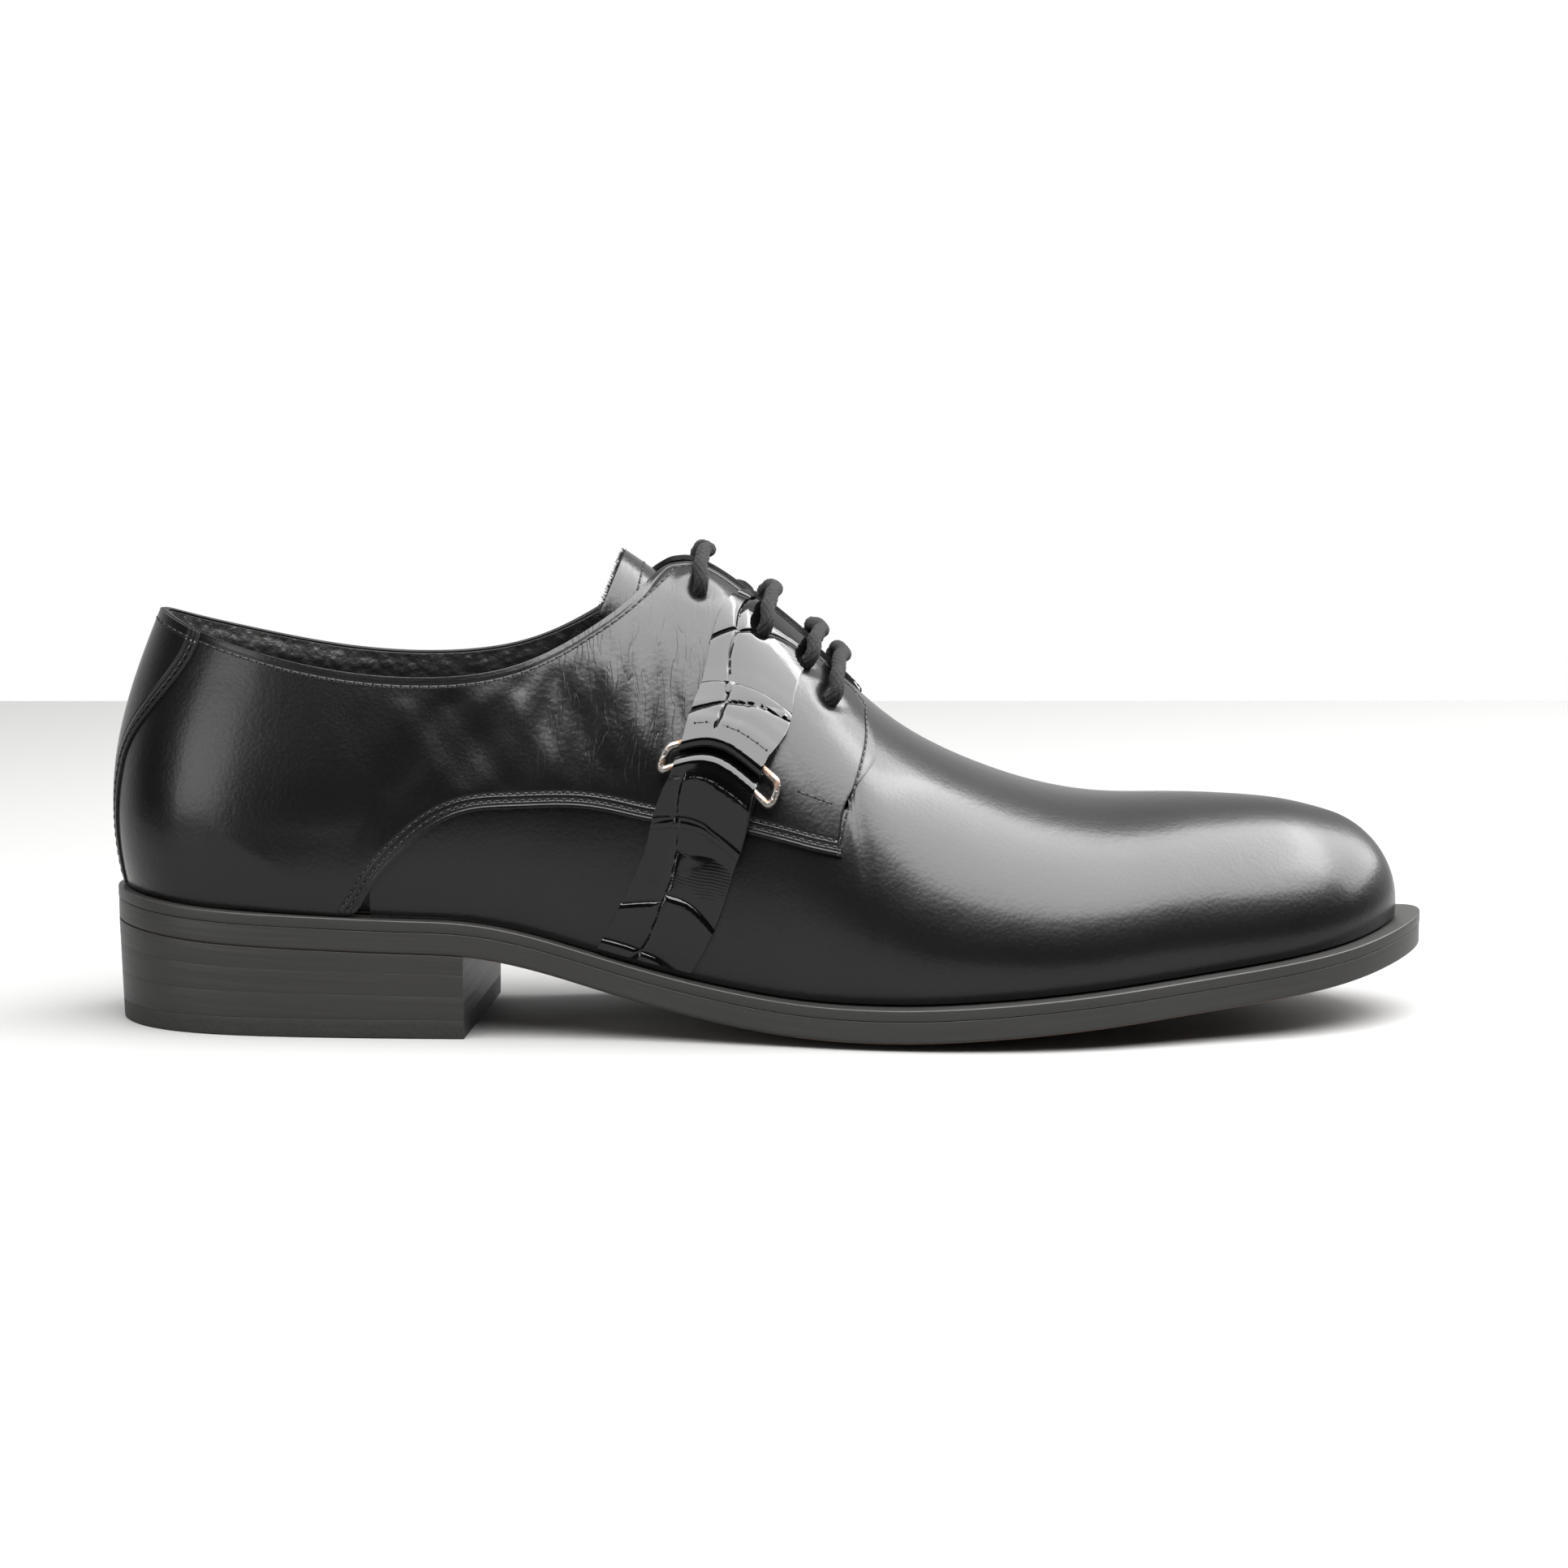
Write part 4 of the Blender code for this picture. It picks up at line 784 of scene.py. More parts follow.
def quarter(side, label):
    u = np.concatenate([spread(0.03, 8.7, 1.25)[:-1], np.linspace(8.7, 9.7, 36)])[:, None]
    v = eased(84, 0.45)[None, :]
    front = 9.36 + 0.6 * smooth(v / 0.62) - 0.18 * smooth((v - 0.72) / 0.28)
    s = np.where(u <= 8.7, u + 0 * v, 8.7 + (u - 8.7) * (front - 8.7))
    lo, hi = quarter_low(s), quarter_top(s)
    h = lo * (1 - v) + hi * v
    off = lift(s, h) + dimples(s, h) + puckers(s, h, side)
    points = skin(side_s(s, side), h, off - LEATHER / 2)
    top, fr, low = outline()
    edge = {name: np.concatenate([skin(side_s(q[:, 0], side), q[:, 1], 0.6) for q in group])
            for name, group in (("top_edge", (top, fr)), ("low_edge", (low,)))}
    made = grid(points, **{name: near(points, line) for name, line in edge.items()})
    obj = piece(f"upper_quarter_{label}", made, [CALF, CUT], "shoe", [f"quarter_{label}"])
    thicken(obj, LEATHER, 0.32)
    # stitch rows: one round the collar, facing and front, two along the bottom edge and the arc
    whole = np.concatenate([skin(side_s(q[:, 0], side), q[:, 1]) for q in (top, fr, low)])
    ring = np.concatenate([top[top[:, 0] > 1.5], fr])
    stitch_row(f"stitches_collar_{label}", inset(ring, side, 2.2, whole), side, lift_at(side), sunk=0.02)
    for number, d in enumerate((1.9, 3.4), 1):
        path = inset(low, side, d, whole)
        stitch_row(f"stitches_arc_{number}_{label}", path, side, lift_at(side), pitch=1.9, length=1.35, sunk=0.02)
    tack = np.column_stack([np.linspace(8.98, 9.36, 30), np.linspace(0.417, 0.432, 30)])
    stitch_row(f"stitches_tack_{label}", tack, side, lift_at(side), sunk=0.03, pitch=1.9, length=1.4)


def lift_at(side):
    return lambda s, h: lift(s, h) + dimples(s, h) + puckers(s, h, side)


for side, label in ((-1, "lateral"), (1, "medial")):
    quarter(side, label)

# backstay over the heel seam
v = eased(90, 0.3)
half = 0.25 + 0.3 * smooth(v / 0.7) + 0.85 * smooth((v - 0.45) / 0.55)
w = np.linspace(-1, 1, 46)[:, None]
s = w * half[None, :]
h = 0.002 + 0.994 * v[None, :] + 0 * s
points = skin(s, h, 0.75 * (1 - 0.25 * abs(w) ** 6) - 0.45)
sides = np.concatenate([skin(k * half, 0.002 + 0.994 * v, 0.4) for k in (-1, 1)])
brim = skin(np.linspace(-1.4, 1.4, 80), 0.996, 0.4)
obj = piece("upper_backstay", grid(points, low_edge=near(points, sides) + 0.4, top_edge=near(points, brim)),
            [CALF, CUT], "shoe", ["backstay"])
thicken(obj, 0.9, 0.25)
for k, label in ((-1, "medial"), (1, "lateral")):
    line = np.column_stack([k * (half - 0.085), 0.002 + 0.994 * v])[3:-6]
    stitch_row(f"stitches_backstay_{label}", line, -1, 0.74, sunk=0.0)
arc = np.column_stack([np.linspace(-1.25, 1.25, 60), 0.965 + 0 * np.linspace(0, 1, 60)])
stitch_row("stitches_heel_collar", arc, -1, 0.76)

# ---------------------------------------------------------------- linings
cols = np.concatenate([-spread(0, 9.74, 1.8)[::-1], spread(0, 9.74, 1.8)[1:]])
rows = eased(44, 0.5)[None, :]
s = cols[:, None] + 0 * rows
top = quarter_top(cols)[:, None] - 0.006
h = top * rows
to_top = (top - h) * 80
meets = 1 - smooth(to_top / 5)      # the lining bends out to the quarter's edge at the collar
off = lining_face(s, h) * (1 - meets) - 1.22 * meets
bm = grid(skin(s, h, off - LINING / 2))
obj = piece("quarter_lining_skin", bm, [LINED, CUT], "shoe", ["quarter_lining"])
thicken(obj, LINING, 0.2)

# ---------------------------------------------------------------- tongue
TONGUE_COLS = [10.15, 10.0, 9.85, 9.65, 9.3, 8.9, 8.5, 8.15]


def tongue_rows(w):
    made = []
    for sc in TONGUE_COLS:
        sink = -8.4 + 5.1 * float(smooth((sc - 9.68) / 0.4))
        made.append(skin(np.where(w <= 0, sc, RING_TURN - sc), 1 - 0.25 * abs(w), sink))
    phi = np.radians(74) * w
    for cx, cz, wide, drop, back in ((-20.6, 100.6, 17, 17, 1), (-26.6, 105.2, 17, 18, 3),
                                     (-32.6, 109.4, 17, 19, 8)):
        made.append(np.column_stack([cx - back * (1 - np.cos(phi)), wide * np.sin(phi), cz - drop * (1 - np.cos(phi))]))
    return np.array(made)


w = np.linspace(-1, 1, TONGUE_ACROSS)
coarse = tongue_rows(w)
fine_t = np.linspace(0, len(coarse) - 1, TONGUE_ALONG)
tongue = Spline(np.column_stack([np.arange(len(coarse)), coarse.reshape(len(coarse), -1)]))(fine_t)
tongue = tongue.reshape(TONGUE_ALONG, TONGUE_ACROSS, 3)
du, dv = np.gradient(tongue, axis=0), np.gradient(tongue, axis=1)
tn = np.cross(du, dv)
tn /= np.linalg.norm(tn, axis=2)[:, :, None]
tn *= np.sign(tn[:, :, 2:3].mean())
hinge = tongue[0, TONGUE_ACROSS // 2] - tn[0, TONGUE_ACROSS // 2]
for name, node, depth, thick, look, slot in (("tongue_face", "tongue", 0.6, 1.2, PLAIN_CALF, "calf"),
                                             ("tongue_back", "tongue_lining", 1.62, 0.8, LINED, "lining_leather")):
    bm = grid(tongue - tn * depth)
    obj = piece(name, bm, [look, CUT], None, [node])
    thicken(obj, thick, 0.15)
    tuple((hinge + ORIGIN + (3, 0, -3)) * MM)
    tuple((hinge + ORIGIN + (-14, 0, 12)) * MM)
    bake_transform(obj)
row = tongue[-9] + tn[-9] * 0.05
threads("stitches_tongue", row[3:-3], tn[-9][3:-3], "tongue")
# the tongue's raw end: short fibres standing out of the cut leather
rng = np.random.default_rng(11)
bm = bmesh.new()
for _ in range(420):
    j = int(rng.integers(0, TONGUE_ACROSS))
    depth = rng.uniform(0.1, 2.0)
    out = du[-1, j] / np.linalg.norm(du[-1, j])
    foot = tongue[-1, j] - tn[-1, j] * depth
    way = Vector(out + rng.normal(0, 0.55, 3)).normalized()
    long = rng.uniform(0.35, 1.3)
    turn = Vector((0, 0, 1)).rotation_difference(way).to_matrix().to_4x4()
    bmesh.ops.create_cone(bm, cap_ends=True, segments=4, radius1=0.07 * MM, radius2=0.03 * MM, depth=long * MM,
                          matrix=Matrix.Translation((Vector(foot + ORIGIN) + way * (long / 2 - 0.1)) * MM) @ turn)
piece("tongue_fibres", bm, CUT, "tongue", sharp=80)


# ---------------------------------------------------------------- sole unit
def plate(name, out, z_low, z_high, looks, replaces, cols=None, round_low=0.3, round_high=0.3, across=7,
          open_end=False, flare=None):
    """A plate on the shoe's plan: its section runs up the medial rim, over the top, down the lateral rim and back."""
    angles = np.radians(np.linspace(-90, 0, 5))
    lat, med = cols or [spread(0, TOE, 1.6)] * 2
    levels = []       # (drop inwards, share of the height, distance up from it)
    for a in angles:
        levels.append((round_low * (1 - math.cos(a)), 0, round_low * (1 + math.sin(a))))
    levels.append((0, 0.33, 0))
    levels.append((0, 0.66, 0))
    for a in -angles[::-1]:
        levels.append((round_high * (1 - math.cos(a)), 1, -round_high * (1 - math.sin(a))))

    def rim(s, lv):
        drop, share, up = lv
        flat = feather(s, out(s) - drop - (flare(share) if flare else 0))[0]
        return np.column_stack([flat, z_low(flat) * (1 - share) + z_high(flat) * share + up])

    m = [rim(RING_TURN - med, lv) for lv in levels]
    l = [rim(lat, lv) for lv in levels]
    loop = [*m]
    for t in np.linspace(0, 1, across)[1:-1]:
        p = m[-1] * (1 - t) + l[-1] * t
        p[:, 2] = z_high(p[:, :2])
        loop.append(p)
    loop += l[::-1]
    for t in np.linspace(0, 1, across)[1:-1]:
        p = l[0] * (1 - t) + m[0] * t
        p[:, 2] = z_low(p[:, :2])
        loop.append(p)
    loop.append(m[0])
    points = np.array(loop).transpose(1, 0, 2)
    run = lengths(points[:, 3])
    rise = points[:, :, 2] - seat(points[:, :, 0].ravel()).reshape(points.shape[:2])
    uv = np.stack(np.broadcast_arrays(run[:, None], rise), 2)
    bm = grid(points, uv)
    if open_end:
        ends = [e for e in bm.edges if e.is_boundary]
        bmesh.ops.holes_fill(bm, edges=ends, sides=0)
        bmesh.ops.recalc_face_normals(bm, faces=bm.faces)
    for face in bm.faces:
        if len(looks) > 1 and face.normal.z < -0.8:
            face.material_index = 1
    return piece(name, bm, looks, "shoe", replaces, sharp=50)


def seat_z(shift):
    return lambda p: seat(p[:, 0]) + shift


def crowned(p):
    rise = smooth((p[:, 0] + 25) / 40) * (1 - smooth((p[:, 0] - 36) / 50))
    return seat(p[:, 0]) - WELT - OUTSOLE - GAP - 1.7 * rise * np.clip(1 - (p[:, 1] / 46) ** 2, 0, 1)


plate("sole_outsole", sole_edge, crowned, seat_z(-WELT - 0.06), [DRESSED, BROWN], ["outsole"],
      round_low=0.7, round_high=0.18, across=15)
# the welt: a closed ring round the sole, its inner part under the upper
s = spread(0, RING_TURN, 1.6, 0.02)
section = ([(-0.3 * (1 - math.cos(a)), -WELT + 0.2 + 0.2 * math.sin(a)) for a in np.radians((-90, -60, -30, 0))]
           + [(0, -1.3)]
           + [(-0.35 * (1 - math.cos(a)), -0.35 + 0.35 * math.sin(a)) for a in np.radians((0, 22, 45, 67, 90))]
           + [(-1.2, 0.02), (-4.0, 0.0), (-8.5, 0.0), (-8.5, -WELT), (-2.0, -WELT)])
loop = []
for o, z in section + section[:1]:
    flat = feather(s, sole_edge(s) * (1 if o > -8 else 0) + o + 0.1)[0]
    loop.append(np.column_stack([flat, seat(flat[:, 0]) + z]))
points = np.array(loop).transpose(1, 0, 2)
run = lengths(points[:, 4])
uv = np.stack(np.broadcast_arrays(run[:, None], np.array([z for _, z in section + section[:1]])[None, :]), 2)
piece("sole_welt", grid(points, uv), DRESSED, "shoe", ["welt"], sharp=50)

breast = []
for x in (BREAST_LATERAL, BREAST_MEDIAL):
    t = np.linspace(3.5, 6, 400)
    breast.append(float(t[np.argmin(abs(feather(t)[0][:, 0] - x))]))
heel_cols = []
for b in breast:
    cols = spread(0, b, 0.9)
    heel_cols.append(np.interp(np.linspace(0, 1, 90), np.linspace(0, 1, len(cols)), cols))


def heel_top(p):
    return seat(p[:, 0]) - WELT - OUTSOLE - GAP - 0.005


def between(fraction, shift=0.0):
    return lambda p: (TOP_PIECE + 0.02) * (1 - fraction) + heel_top(p) * fraction + shift


LIFTS = (0.0, 0.36, 0.7, 1.0)
for i in range(3):
    f0, f1 = LIFTS[i], LIFTS[i + 1]
    plate(f"heel_lift_block_{i + 1}", sole_edge, between(f0, 0.01 if i else 0), between(f1, -0.01 if i < 2 else 0),
          [DRESSED], [f"heel_lift_{i + 1}"], cols=heel_cols, round_low=0.05, round_high=0.05,
          open_end=True, flare=lambda share, f0=f0, f1=f1: HEEL_TAPER * 0.8 * (1 - (f0 + (f1 - f0) * share)))
plate("heel_top_piece", sole_edge, lambda p: 0 * p[:, 0], lambda p: TOP_PIECE + 0 * p[:, 0], [RUBBER], ["top_piece"],
      cols=heel_cols, round_low=0.35, round_high=0.15, open_end=True,
      flare=lambda share: HEEL_TAPER * (1 - 0.2 * share))


# ---------------------------------------------------------------- straps and rings
def edge_curve(points, t):
    a, b, c = (np.array(p) for p in points)
    t = np.asarray(t)[..., None]
    return a * (1 - t) * (1 - 2 * t) + b * 4 * t * (1 - t) + c * t * (2 * t - 1)


def square_step(a, side):
    """The change of (s, h) for 1 mm square to the ring's middle line, upwards, at the share a along it."""
    (s0, h0), (s1, h1) = RING_LINE
    s_, h_, e = s0 + (s1 - s0) * a, h0 + (h1 - h0) * a, 1e-3
    ps = (skin(side_s(s_ + e, side), h_) - skin(side_s(s_ - e, side), h_)) / (2 * e)
    ph = (skin(side_s(s_, side), h_ + e) - skin(side_s(s_, side), h_ - e)) / (2 * e)
    line = skin(side_s(s1, side), h1) - skin(side_s(s0, side), h0)
    v = np.cross(np.cross(ps, ph), line)
    v *= np.sign(np.dot(v, ph)) / np.linalg.norm(v)
    return np.array([s_, h_]), np.linalg.lstsq(np.column_stack([ps, ph]), v, rcond=None)[0]


# a strap's profile counts its first mm from the ring truly, and the rest as thousandths of what is left
FIXED, REST = 20, 1000
MARGIN, SPAN = 0.065, 0.87      # the strap's width as shares between its two edge curves
FLAP = 0.45 + STRAP / 2
LOOP = WIRE_RADIUS + 0.3 + STRAP / 2
BAR_Z = FLAP + WIRE_RADIUS + 0.45 + STRAP / 2


def strap_points(edges, side, across, profile):
    """Middle layer of a strap: profile is (distance from the ring's middle, height over what it lies on)."""
    t = np.linspace(-0.12, 1, 141)
    upwards = 1 if edges[0][2][1] > edges[0][0][1] else -1
    columns, reach = [], []
    for a in across:
        sh = edge_curve(edges[0], t) * (1 - a) + edge_curve(edges[1], t) * a
        p = skin(side_s(sh[:, 0], side), sh[:, 1])
        run = lengths(p)
        run -= np.interp(0, t, run)
        length = run[-1]
        d = np.array([q if q < FIXED else FIXED + (q - FIXED) * (length - FIXED) / REST for q, _ in profile])
        start, step = square_step(a, side)
        far = smooth((d - 7) / 16)[:, None]
        near_sh = start + upwards * d[:, None] * step
        sh = near_sh * (1 - far) + np.column_stack([np.interp(d, run, sh[:, 0]), np.interp(d, run, sh[:, 1])]) * far
        ss, hh = sh[:, 0], sh[:, 1]
        held = 1 - smooth((abs(d) - 10) / 12)
        off = STRAP_LIFT * held + strap_base(ss, hh) * (1 - held) + np.array([z for _, z in profile])
        columns.append(skin(side_s(ss, side), hh, off))
        reach.append(d)
    return np.array(columns), np.array(reach)


ROLL = [(RING_HALF + LOOP * math.sin(a), BAR_Z + LOOP * math.cos(a)) for a in np.radians(np.arange(0, -181, -9))]
LAID = 0.06 + STRAP / 2
PROFILE_KNOTS = Spline([(0, FIXED + REST, LAID), (0.5, FIXED + REST / 2, LAID), (0.94, FIXED + 60, LAID), (1.0, FIXED, LAID + 0.08),
                        (1.05, 17.5, 0.75), (1.1, 15.0, 1.2), (1.16, 12.0, 1.9), (1.21, 9.6, 2.6), (1.26, 7.4, 3.6),
                        (1.31, 5.2, BAR_Z + LOOP - 0.55), (1.36, 2.7, BAR_Z + LOOP)])
knot_run = np.concatenate([np.linspace(0, 0.94, 120), np.linspace(0.945, 1.36, 60)])
FRONT_RUN = [tuple(v) for v in PROFILE_KNOTS(knot_run)]
PROFILE = FRONT_RUN[:-1] + ROLL + [(4.0, FLAP), (6.5, FLAP), (9.5, FLAP)]

# embossed lines on the straps as (share across from the heel side, share along from the roll to the end)
UPPER_LINES = [[(0.44, 0.0), (0.39, 0.2), (0.36, 0.32), (0.295, 0.465), (0.283, 0.6),
                (0.21, 0.72), (0.16, 0.87), (0.15, 1.0)],
               [(0.0, 0.565), (0.14, 0.585), (0.27, 0.61)], [(0.29, 0.59), (0.6, 0.665), (1.0, 0.73)],
               [(0.0, 0.18), (0.2, 0.2), (0.38, 0.235)], [(0.39, 0.24), (0.7, 0.275), (1.0, 0.31)],
               [(0.0, 0.9), (0.16, 0.9)], [(0.2, 0.93), (0.6, 0.955), (1.0, 0.99)]]
LOWER_LINES = [[(0.18, -0.03), (0.21, 0.13), (0.265, 0.28), (0.318, 0.465), (0.355, 0.6),
                (0.355, 0.715), (0.39, 0.88), (0.39, 1.0)],
               [(0.0, 0.295), (0.25, 0.285)], [(0.28, 0.29), (1.0, 0.29)],
               [(0.0, 0.70), (0.35, 0.69)], [(0.36, 0.655), (0.6, 0.665), (1.0, 0.69)],
               [(0.0, 0.89), (0.38, 0.95)], [(0.39, 0.955), (1.0, 1.0)]]
STRAP_WIDE = 21.5


def embossed(across, reach, lines, length):
    """Depth pressed into the strap at each of its points: soft-shouldered lines with pillowed fields between."""
    a = np.broadcast_to(across[:, None], reach.shape)
    flat = np.stack([a * STRAP_WIDE, reach], 2)
    best = np.full(reach.shape, 99.0)
    for line in lines:
        q = np.array([(x * STRAP_WIDE, 1.0 + y * (length - 1.0)) for x, y in line])
        t = np.linspace(0, len(q) - 1, 40 * len(q))
        q = np.column_stack([np.interp(t, np.arange(len(q)), q[:, k]) for k in (0, 1)])
        d = np.full(reach.shape, 99.0)
        for block in np.array_split(q, 12):
            d = np.minimum(d, np.linalg.norm(flat[:, :, None] - block, axis=3).min(2))
        best = np.minimum(best, d)
    return -0.42 * np.exp(-(best / 0.5) ** 2) - 0.16 * np.exp(-(best / 1.3) ** 2)


def strap(name, edges, lines, side, label):
    across = MARGIN + SPAN * eased(58, 0.2)
    points, reach = strap_points(edges, side, across, PROFILE)
    du, dv = np.gradient(points, axis=0), np.gradient(points, axis=1)
    n = np.cross(du, dv)
    n /= np.linalg.norm(n, axis=2)[:, :, None]
    out = skin(side_s(8.0, side), 0.6, 1.0) - skin(side_s(8.0, side), 0.6)
    n *= np.sign((n[:, 40:60].mean((0, 1)) * out).sum())
    pressed = embossed((across - MARGIN) / SPAN, reach, lines, reach.max())
    # no embossing on the roll, which has to stay clear of the ring
    plain = np.clip((len(FRONT_RUN) - 2 - np.arange(reach.shape[1])) / 10, 0, 1)
    points = points + n * (pressed * plain)[:, :, None]
    for s_, h_, _ in HOLES[1:3] if edges is UPPER_EDGES else ():
        c = skin(side_s(s_, side), h_, OVERLAP_LIFT + STRAP)
        r = np.linalg.norm(points - c, axis=2)
        points = points - n * (0.7 * np.exp(-(r / 2.5) ** 2))[:, :, None]
    u = np.broadcast_to(across[:, None] * STRAP_WIDE, reach.shape)
    v_run = np.array([lengths(row) for row in points])
    bm = grid(points, np.stack([u, v_run], 2))
    obj = piece(f"patent_{name}_{label}", bm, [PATENT, CUT], "shoe", [f"strap_{name}_{label}"])
    thicken(obj, STRAP, 0.22)
    # the seam that holds the roll
    seam_at, first = (6.4, 8) if name == "upper" else (6.0, 3)
    k = int(np.argmin(abs(reach[0, :len(FRONT_RUN)] - seam_at)))
    seam = points[:, k] + n[:, k] * (STRAP / 2)
    threads(f"stitches_{name}_{label}", seam[first:-3], n[first:-3, k], "shoe",
            pitch=2.6, length=1.9, width=0.42, thick=0.3)


def closed_wire(name, points, radius, look, body, replaces):
    curve = bpy.data.curves.new(name, "CURVE")
    curve.dimensions = "3D"
    line = curve.splines.new("POLY")
    line.points.add(len(points) - 1)
    for point, p in zip(line.points, points):
        point.co = (*(Vector(p + ORIGIN) * MM), 1)
    line.use_cyclic_u = line.use_smooth = True
    curve.bevel_depth, curve.bevel_resolution = radius * MM, 4
    curve.materials.append(look)
    obj = bpy.data.objects.new(name, curve)
    bpy.context.scene.collection.objects.link(obj)
    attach(obj, body)
    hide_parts(*replaces)


def ring(side, label):
    """The wire ring: two long bars under the strap rolls, with round ends outside them."""
    ends = skin([side_s(RING_LINE[0][0], side), side_s(RING_LINE[1][0], side)], [RING_LINE[0][1], RING_LINE[1][1]])
    wide = np.linalg.norm(ends[1] - ends[0])
    reach = (RING_LENGTH / 2 - RING_CORNER - WIRE_RADIUS) / wide

    def bar(edges, a):
        return strap_points(edges, side, [a], [(RING_HALF, BAR_Z)])[0][0, 0]
    loop = [bar(UPPER_EDGES, a) for a in np.linspace(0.5 - reach, 0.5 + reach, 25)]
    for k, (a, first, last) in enumerate(((0.5 + reach, UPPER_EDGES, LOWER_EDGES),
                                          (0.5 - reach, LOWER_EDGES, UPPER_EDGES))):
        p, q = bar(first, a), bar(last, a)
        along = loop[-1] - loop[-2]
        along /= np.linalg.norm(along)
        over = (q - p) / np.linalg.norm(q - p)
        corner = 2.2
        for base, way, angles in ((p, over, np.linspace(8, 90, 9)), (q, -over, np.linspace(90, 8, 9))):
            for ang in np.radians(angles):
                loop.append(base + corner * (along * math.sin(ang) * 0.62 + way * (1 - math.cos(ang))))
        if k == 0:
            loop += [bar(LOWER_EDGES, a2) for a2 in np.linspace(0.5 + reach, 0.5 - reach, 25)]
    closed_wire(f"ring_wire_{label}", np.array(loop), WIRE_RADIUS, METAL, f"ring_{label}",
                [f"strap_ring_{label}"])


for side, label in ((-1, "lateral"), (1, "medial")):
    strap("upper", UPPER_EDGES, UPPER_LINES, side, label)
    strap("lower", LOWER_EDGES, LOWER_LINES, side, label)
    ring(side, label)


# ---------------------------------------------------------------- lace
def frame_at(s, h, side):
    ss = side_s(s, side)
    p, e = skin(ss, h), 1e-3
    up = skin(ss, h + e) - skin(ss, h - e)
    up /= np.linalg.norm(up)
    toe = skin(side_s(s + e, side), h) - skin(side_s(s - e, side), h)
    n = skin(ss, h, 1.0) - p
    toe = toe - up * np.dot(toe, up)
    return p, n, up, toe / np.linalg.norm(toe)


UNDER = -5.7


def down(hole, side, turn, depth=UNDER):
    """Points through a hole from above to below: turn is the direction taken inside."""
    s_, h_, top = HOLES[hole]
    p, n, up, toe = frame_at(s_, h_, side)
    way = turn[0] * up + turn[1] * toe
    way = way / np.linalg.norm(way)
    bend, low = 2.4, 2.3
    return [p + up * 5.5 + n * (top + 0.3), p + up * bend * 1.05 + n * top, p + up * 0.72 + n * (top - 0.72),
            p + n * (top - bend), p + n * (depth + low), p + way * 0.68 + n * (depth + 0.68),
            p + way * low * 1.05 + n * depth]


def bar_over(hole):
    s_, h_, top = HOLES[hole]
    hs = np.linspace(h_ + 0.085, 1, 4)[:-1]
    lat = skin(s_ + 0 * hs, hs, top + 0.4)
    med = skin(RING_TURN - s_ + 0 * hs, hs, top + 0.4)[::-1]
    return [*lat, skin([s_], [1.0], top + 0.4)[0], *med]


def under(points):
    return [skin([side_s(s_, side)], [h_], UNDER - (deep[0] if deep else 0))[0] for s_, h_, side, *deep in points]


path = []
path += under([(10.9, 0.20, -1, 1.5), (10.4, 0.2, -1, 0.8), (9.9, 0.22, -1), (9.5, 0.30, -1), (9.25, 0.42, -1),
               (9.05, 0.56, -1), (8.95, 0.68, -1)])
path += down(2, -1, (-1, 0))[::-1] + bar_over(2) + down(2, 1, (-1, 0.35))
path += under([(9.22, 0.725, 1, 0.4), (9.42, 0.69, 1, 0.4)])
path += down(0, 1, (-1, -0.35))[::-1] + bar_over(0)[::-1] + down(0, -1, (0.3, -1))
path += down(1, -1, (-0.3, 1))[::-1] + bar_over(1) + down(1, 1, (0.7, -1))
path += under([(9.0, 0.848, 1, 0.6), (8.7, 0.845, 1, 0.6)])
path += down(3, 1, (0.7, 1))[::-1] + bar_over(3)[::-1] + down(3, -1, (-1, 0))
path += under([(8.25, 0.66, -1), (8.35, 0.52, -1), (8.5, 0.38, -1), (8.8, 0.25, -1), (9.3, 0.155, -1),
               (9.8, 0.125, -1, 0.8), (10.3, 0.13, -1, 1.8)])
path = np.array(path)


def even_path(p, step):
    """Catmull-Rom through the points, read at even steps."""
    q = [2 * p[0] - p[1], *p, 2 * p[-1] - p[-2]]
    fine = []
    for i in range(1, len(q) - 2):
        a, b, c, d = q[i - 1], q[i], q[i + 1], q[i + 2]
        for t in np.linspace(0, 1, 24, endpoint=False):
            fine.append(0.5 * (2 * b + (c - a) * t + (2 * a - 5 * b + 4 * c - d) * t**2
                               + (3 * b - a - 3 * c + d) * t**3))
    fine = np.array(fine + [p[-1]])
    run = lengths(fine)
    at = np.linspace(0, run[-1], int(run[-1] / step) + 1)
    return np.column_stack([np.interp(at, run, fine[:, k]) for k in range(3)])


line = even_path(path, 0.42)
for _ in range(6):
    line[1:-1] = (line[:-2] + 2 * line[1:-1] + line[2:]) / 4
tangent = np.gradient(line, axis=0)
tangent /= np.linalg.norm(tangent, axis=1)[:, None]
normal = np.zeros_like(line)
normal[0] = np.cross(tangent[0], (0.3, 0.2, 1.0))
for i in range(1, len(line)):
    v = normal[i - 1] - tangent[i] * np.dot(normal[i - 1], tangent[i])
    normal[i] = v / np.linalg.norm(v)
binormal = np.cross(tangent, normal)
AROUND = 30
theta = np.linspace(0, 2 * math.pi, AROUND + 1)
run = lengths(line)
a = theta[None, :] / (2 * math.pi) * CARRIERS + run[:, None] * LAY
b = theta[None, :] / (2 * math.pi) * CARRIERS - run[:, None] * LAY
fa, fb = a % 1, b % 1
over = (np.floor(a) + np.floor(b)) % 2 == 0
carrier = np.where(over, np.sin(np.pi * fa) ** 0.6 * (1 - 0.45 * (2 * fb - 1) ** 2),
                   np.sin(np.pi * fb) ** 0.6 * (1 - 0.45 * (2 * fa - 1) ** 2))
radius = LACE_RADIUS - 0.16 + 0.26 * carrier
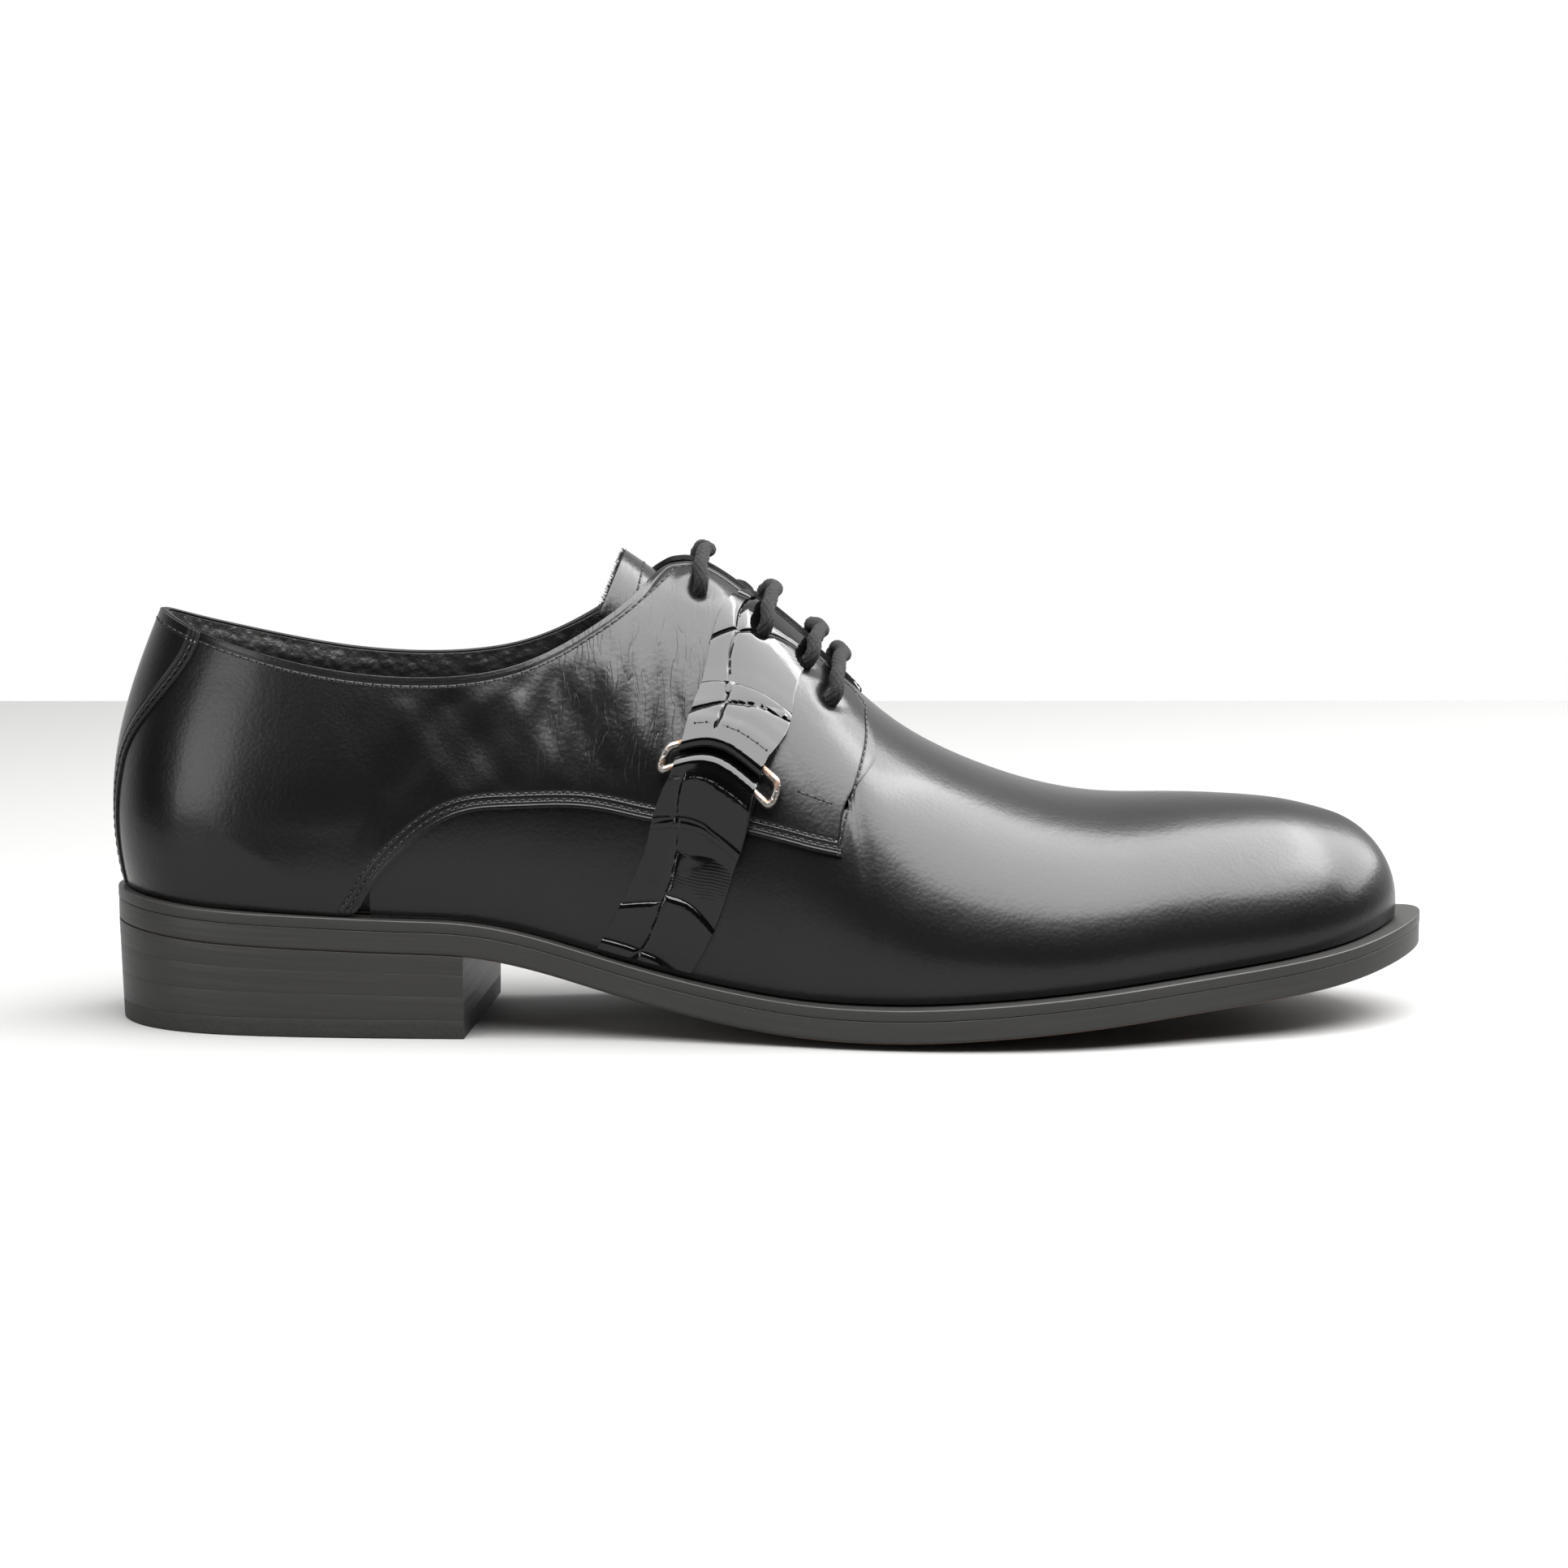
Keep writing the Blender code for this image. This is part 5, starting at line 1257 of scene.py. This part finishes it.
points = (line[:, None] + normal[:, None] * (np.cos(theta) * radius)[:, :, None]
          + binormal[:, None] * (np.sin(theta) * radius)[:, :, None])
uv = np.stack(np.broadcast_arrays(theta[None, :] / (2 * math.pi) / MM, run[:, None]), 2)
bm = grid(points, uv, carrier=carrier)
ends = [e for e in bm.edges if e.is_boundary]
bmesh.ops.holes_fill(bm, edges=ends, sides=0)
bmesh.ops.recalc_face_normals(bm, faces=bm.faces)
piece("lace_braid", bm, BRAID, "shoe", ["lace"], sharp=80)

# ---------------------------------------------------------------- CAD nodes that keep their shape
CARRIED = {"vamp_lining": LINED, "toe_puff": FIBRE, "heel_counter": FIBRE, "facing_stay_lateral": FIBRE,
           "facing_stay_medial": FIBRE, "insole": FIBRE, "sock_liner": LINED, "cork_filler": CORK, "shank": STEEL,
           "aglet_1": PLASTIC, "aglet_2": PLASTIC, **{f"heel_nail_{i}": STEEL for i in range(1, 6)}}
for name, look in CARRIED.items():
    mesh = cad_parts[name].data
    mesh.materials.clear()
    mesh.materials.append(look)

# ---------------------------------------------------------------- stage, light and camera
bm = bmesh.new()
bmesh.ops.create_grid(bm, x_segments=1, y_segments=1, size=0.56, matrix=Matrix.Translation((0, 0.06, 0)))
mesh = bpy.data.meshes.new("floor")
bm.to_mesh(mesh)
bm.free()
f = Finish("pale_floor", Roughness=0.7, Specular_IOR_Level=0.3)
f.feed(Base_Color=f.mix(f.noise(f.place(), 3.0), (0.19, 0.189, 0.187), (0.196, 0.195, 0.193)))
mesh.materials.append(f.material)
floor = bpy.data.objects.new("floor", mesh)
bpy.context.scene.collection.objects.link(floor)

world = bpy.data.worlds.new("studio")
bpy.context.scene.world = world
world.use_nodes = True
tree = world.node_tree
tree.nodes.clear()
direction = tree.nodes.new("ShaderNodeTexCoord").outputs["Generated"]
parts = tree.nodes.new("ShaderNodeSeparateXYZ")
tree.links.new(direction, parts.inputs[0])
behind = tree.nodes.new("ShaderNodeMapRange")
behind.interpolation_type = "SMOOTHSTEP"
for socket, value in (("From Min", 0.05), ("From Max", 0.6), ("To Min", 0.02), ("To Max", 1.1)):
    behind.inputs[socket].default_value = value
tree.links.new(parts.outputs["Y"], behind.inputs["Value"])
below = tree.nodes.new("ShaderNodeMapRange")
for socket, value in (("From Min", 0.0), ("From Max", -0.05), ("To Min", 0.0), ("To Max", 0.12)):
    below.inputs[socket].default_value = value
tree.links.new(parts.outputs["Z"], below.inputs["Value"])
brighter = tree.nodes.new("ShaderNodeMath")
brighter.operation = "MAXIMUM"
tree.links.new(behind.outputs[0], brighter.inputs[0])
tree.links.new(below.outputs[0], brighter.inputs[1])
seen = tree.nodes.new("ShaderNodeLightPath")
room, white = tree.nodes.new("ShaderNodeBackground"), tree.nodes.new("ShaderNodeBackground")
tree.links.new(brighter.outputs[0], room.inputs["Strength"])
white.inputs["Color"].default_value, white.inputs["Strength"].default_value = (1, 1, 1, 1), 1.0
choice, out = tree.nodes.new("ShaderNodeMixShader"), tree.nodes.new("ShaderNodeOutputWorld")
tree.links.new(seen.outputs["Is Camera Ray"], choice.inputs[0])
tree.links.new(room.outputs[0], choice.inputs[1])
tree.links.new(white.outputs[0], choice.inputs[2])
tree.links.new(choice.outputs[0], out.inputs[0])


def softbox(name, place, aim, wide, deep, radiance, colour=(1, 1, 1)):
    """A rectangular light whose face has that radiance."""
    data = bpy.data.lights.new(name, "AREA")
    data.shape, data.size, data.size_y = "RECTANGLE", wide, deep
    data.energy = radiance * math.pi * wide * deep
    data.color = colour
    lamp = bpy.data.objects.new(name, data)
    lamp.location = place
    lamp.rotation_euler = (Vector(aim) - Vector(place)).to_track_quat("-Z", "Y").to_euler()
    bpy.context.scene.collection.objects.link(lamp)
    return lamp


softbox("softbox_over", (0.22, -0.30, 1.0), (0.10, -0.12, 0.0), 1.8, 1.3, 14.5)
softbox("card_left", (-1.0, -0.75, 0.35), (-0.1, 0.0, 0.06), 0.5, 0.6, 5.5)
softbox("softbox_toe", (1.0, 0.32, 0.78), (0.12, 0.0, 0.04), 0.9, 0.9, 10.5)

bpy.context.scene.view_settings.view_transform = "Standard"

CAMERA_BACK, CAMERA_UP, CAMERA_TILT = 1200, 0.217, 7.72     # mm, metres and degrees
camera_data = bpy.data.cameras.new("camera")
camera_data.lens, camera_data.sensor_width = 118.6, 36.0
camera_data.clip_start, camera_data.clip_end = 0.05, 30.0
camera = bpy.data.objects.new("camera", camera_data)
camera.location = ((4.3 + ORIGIN[0]) * MM, (-CAMERA_BACK + ORIGIN[1]) * MM, CAMERA_UP)
camera.rotation_euler = (math.radians(90 - CAMERA_TILT), 0, 0)
bpy.context.scene.collection.objects.link(camera)
bpy.context.scene.camera = camera

bpy.context.view_layer.update()
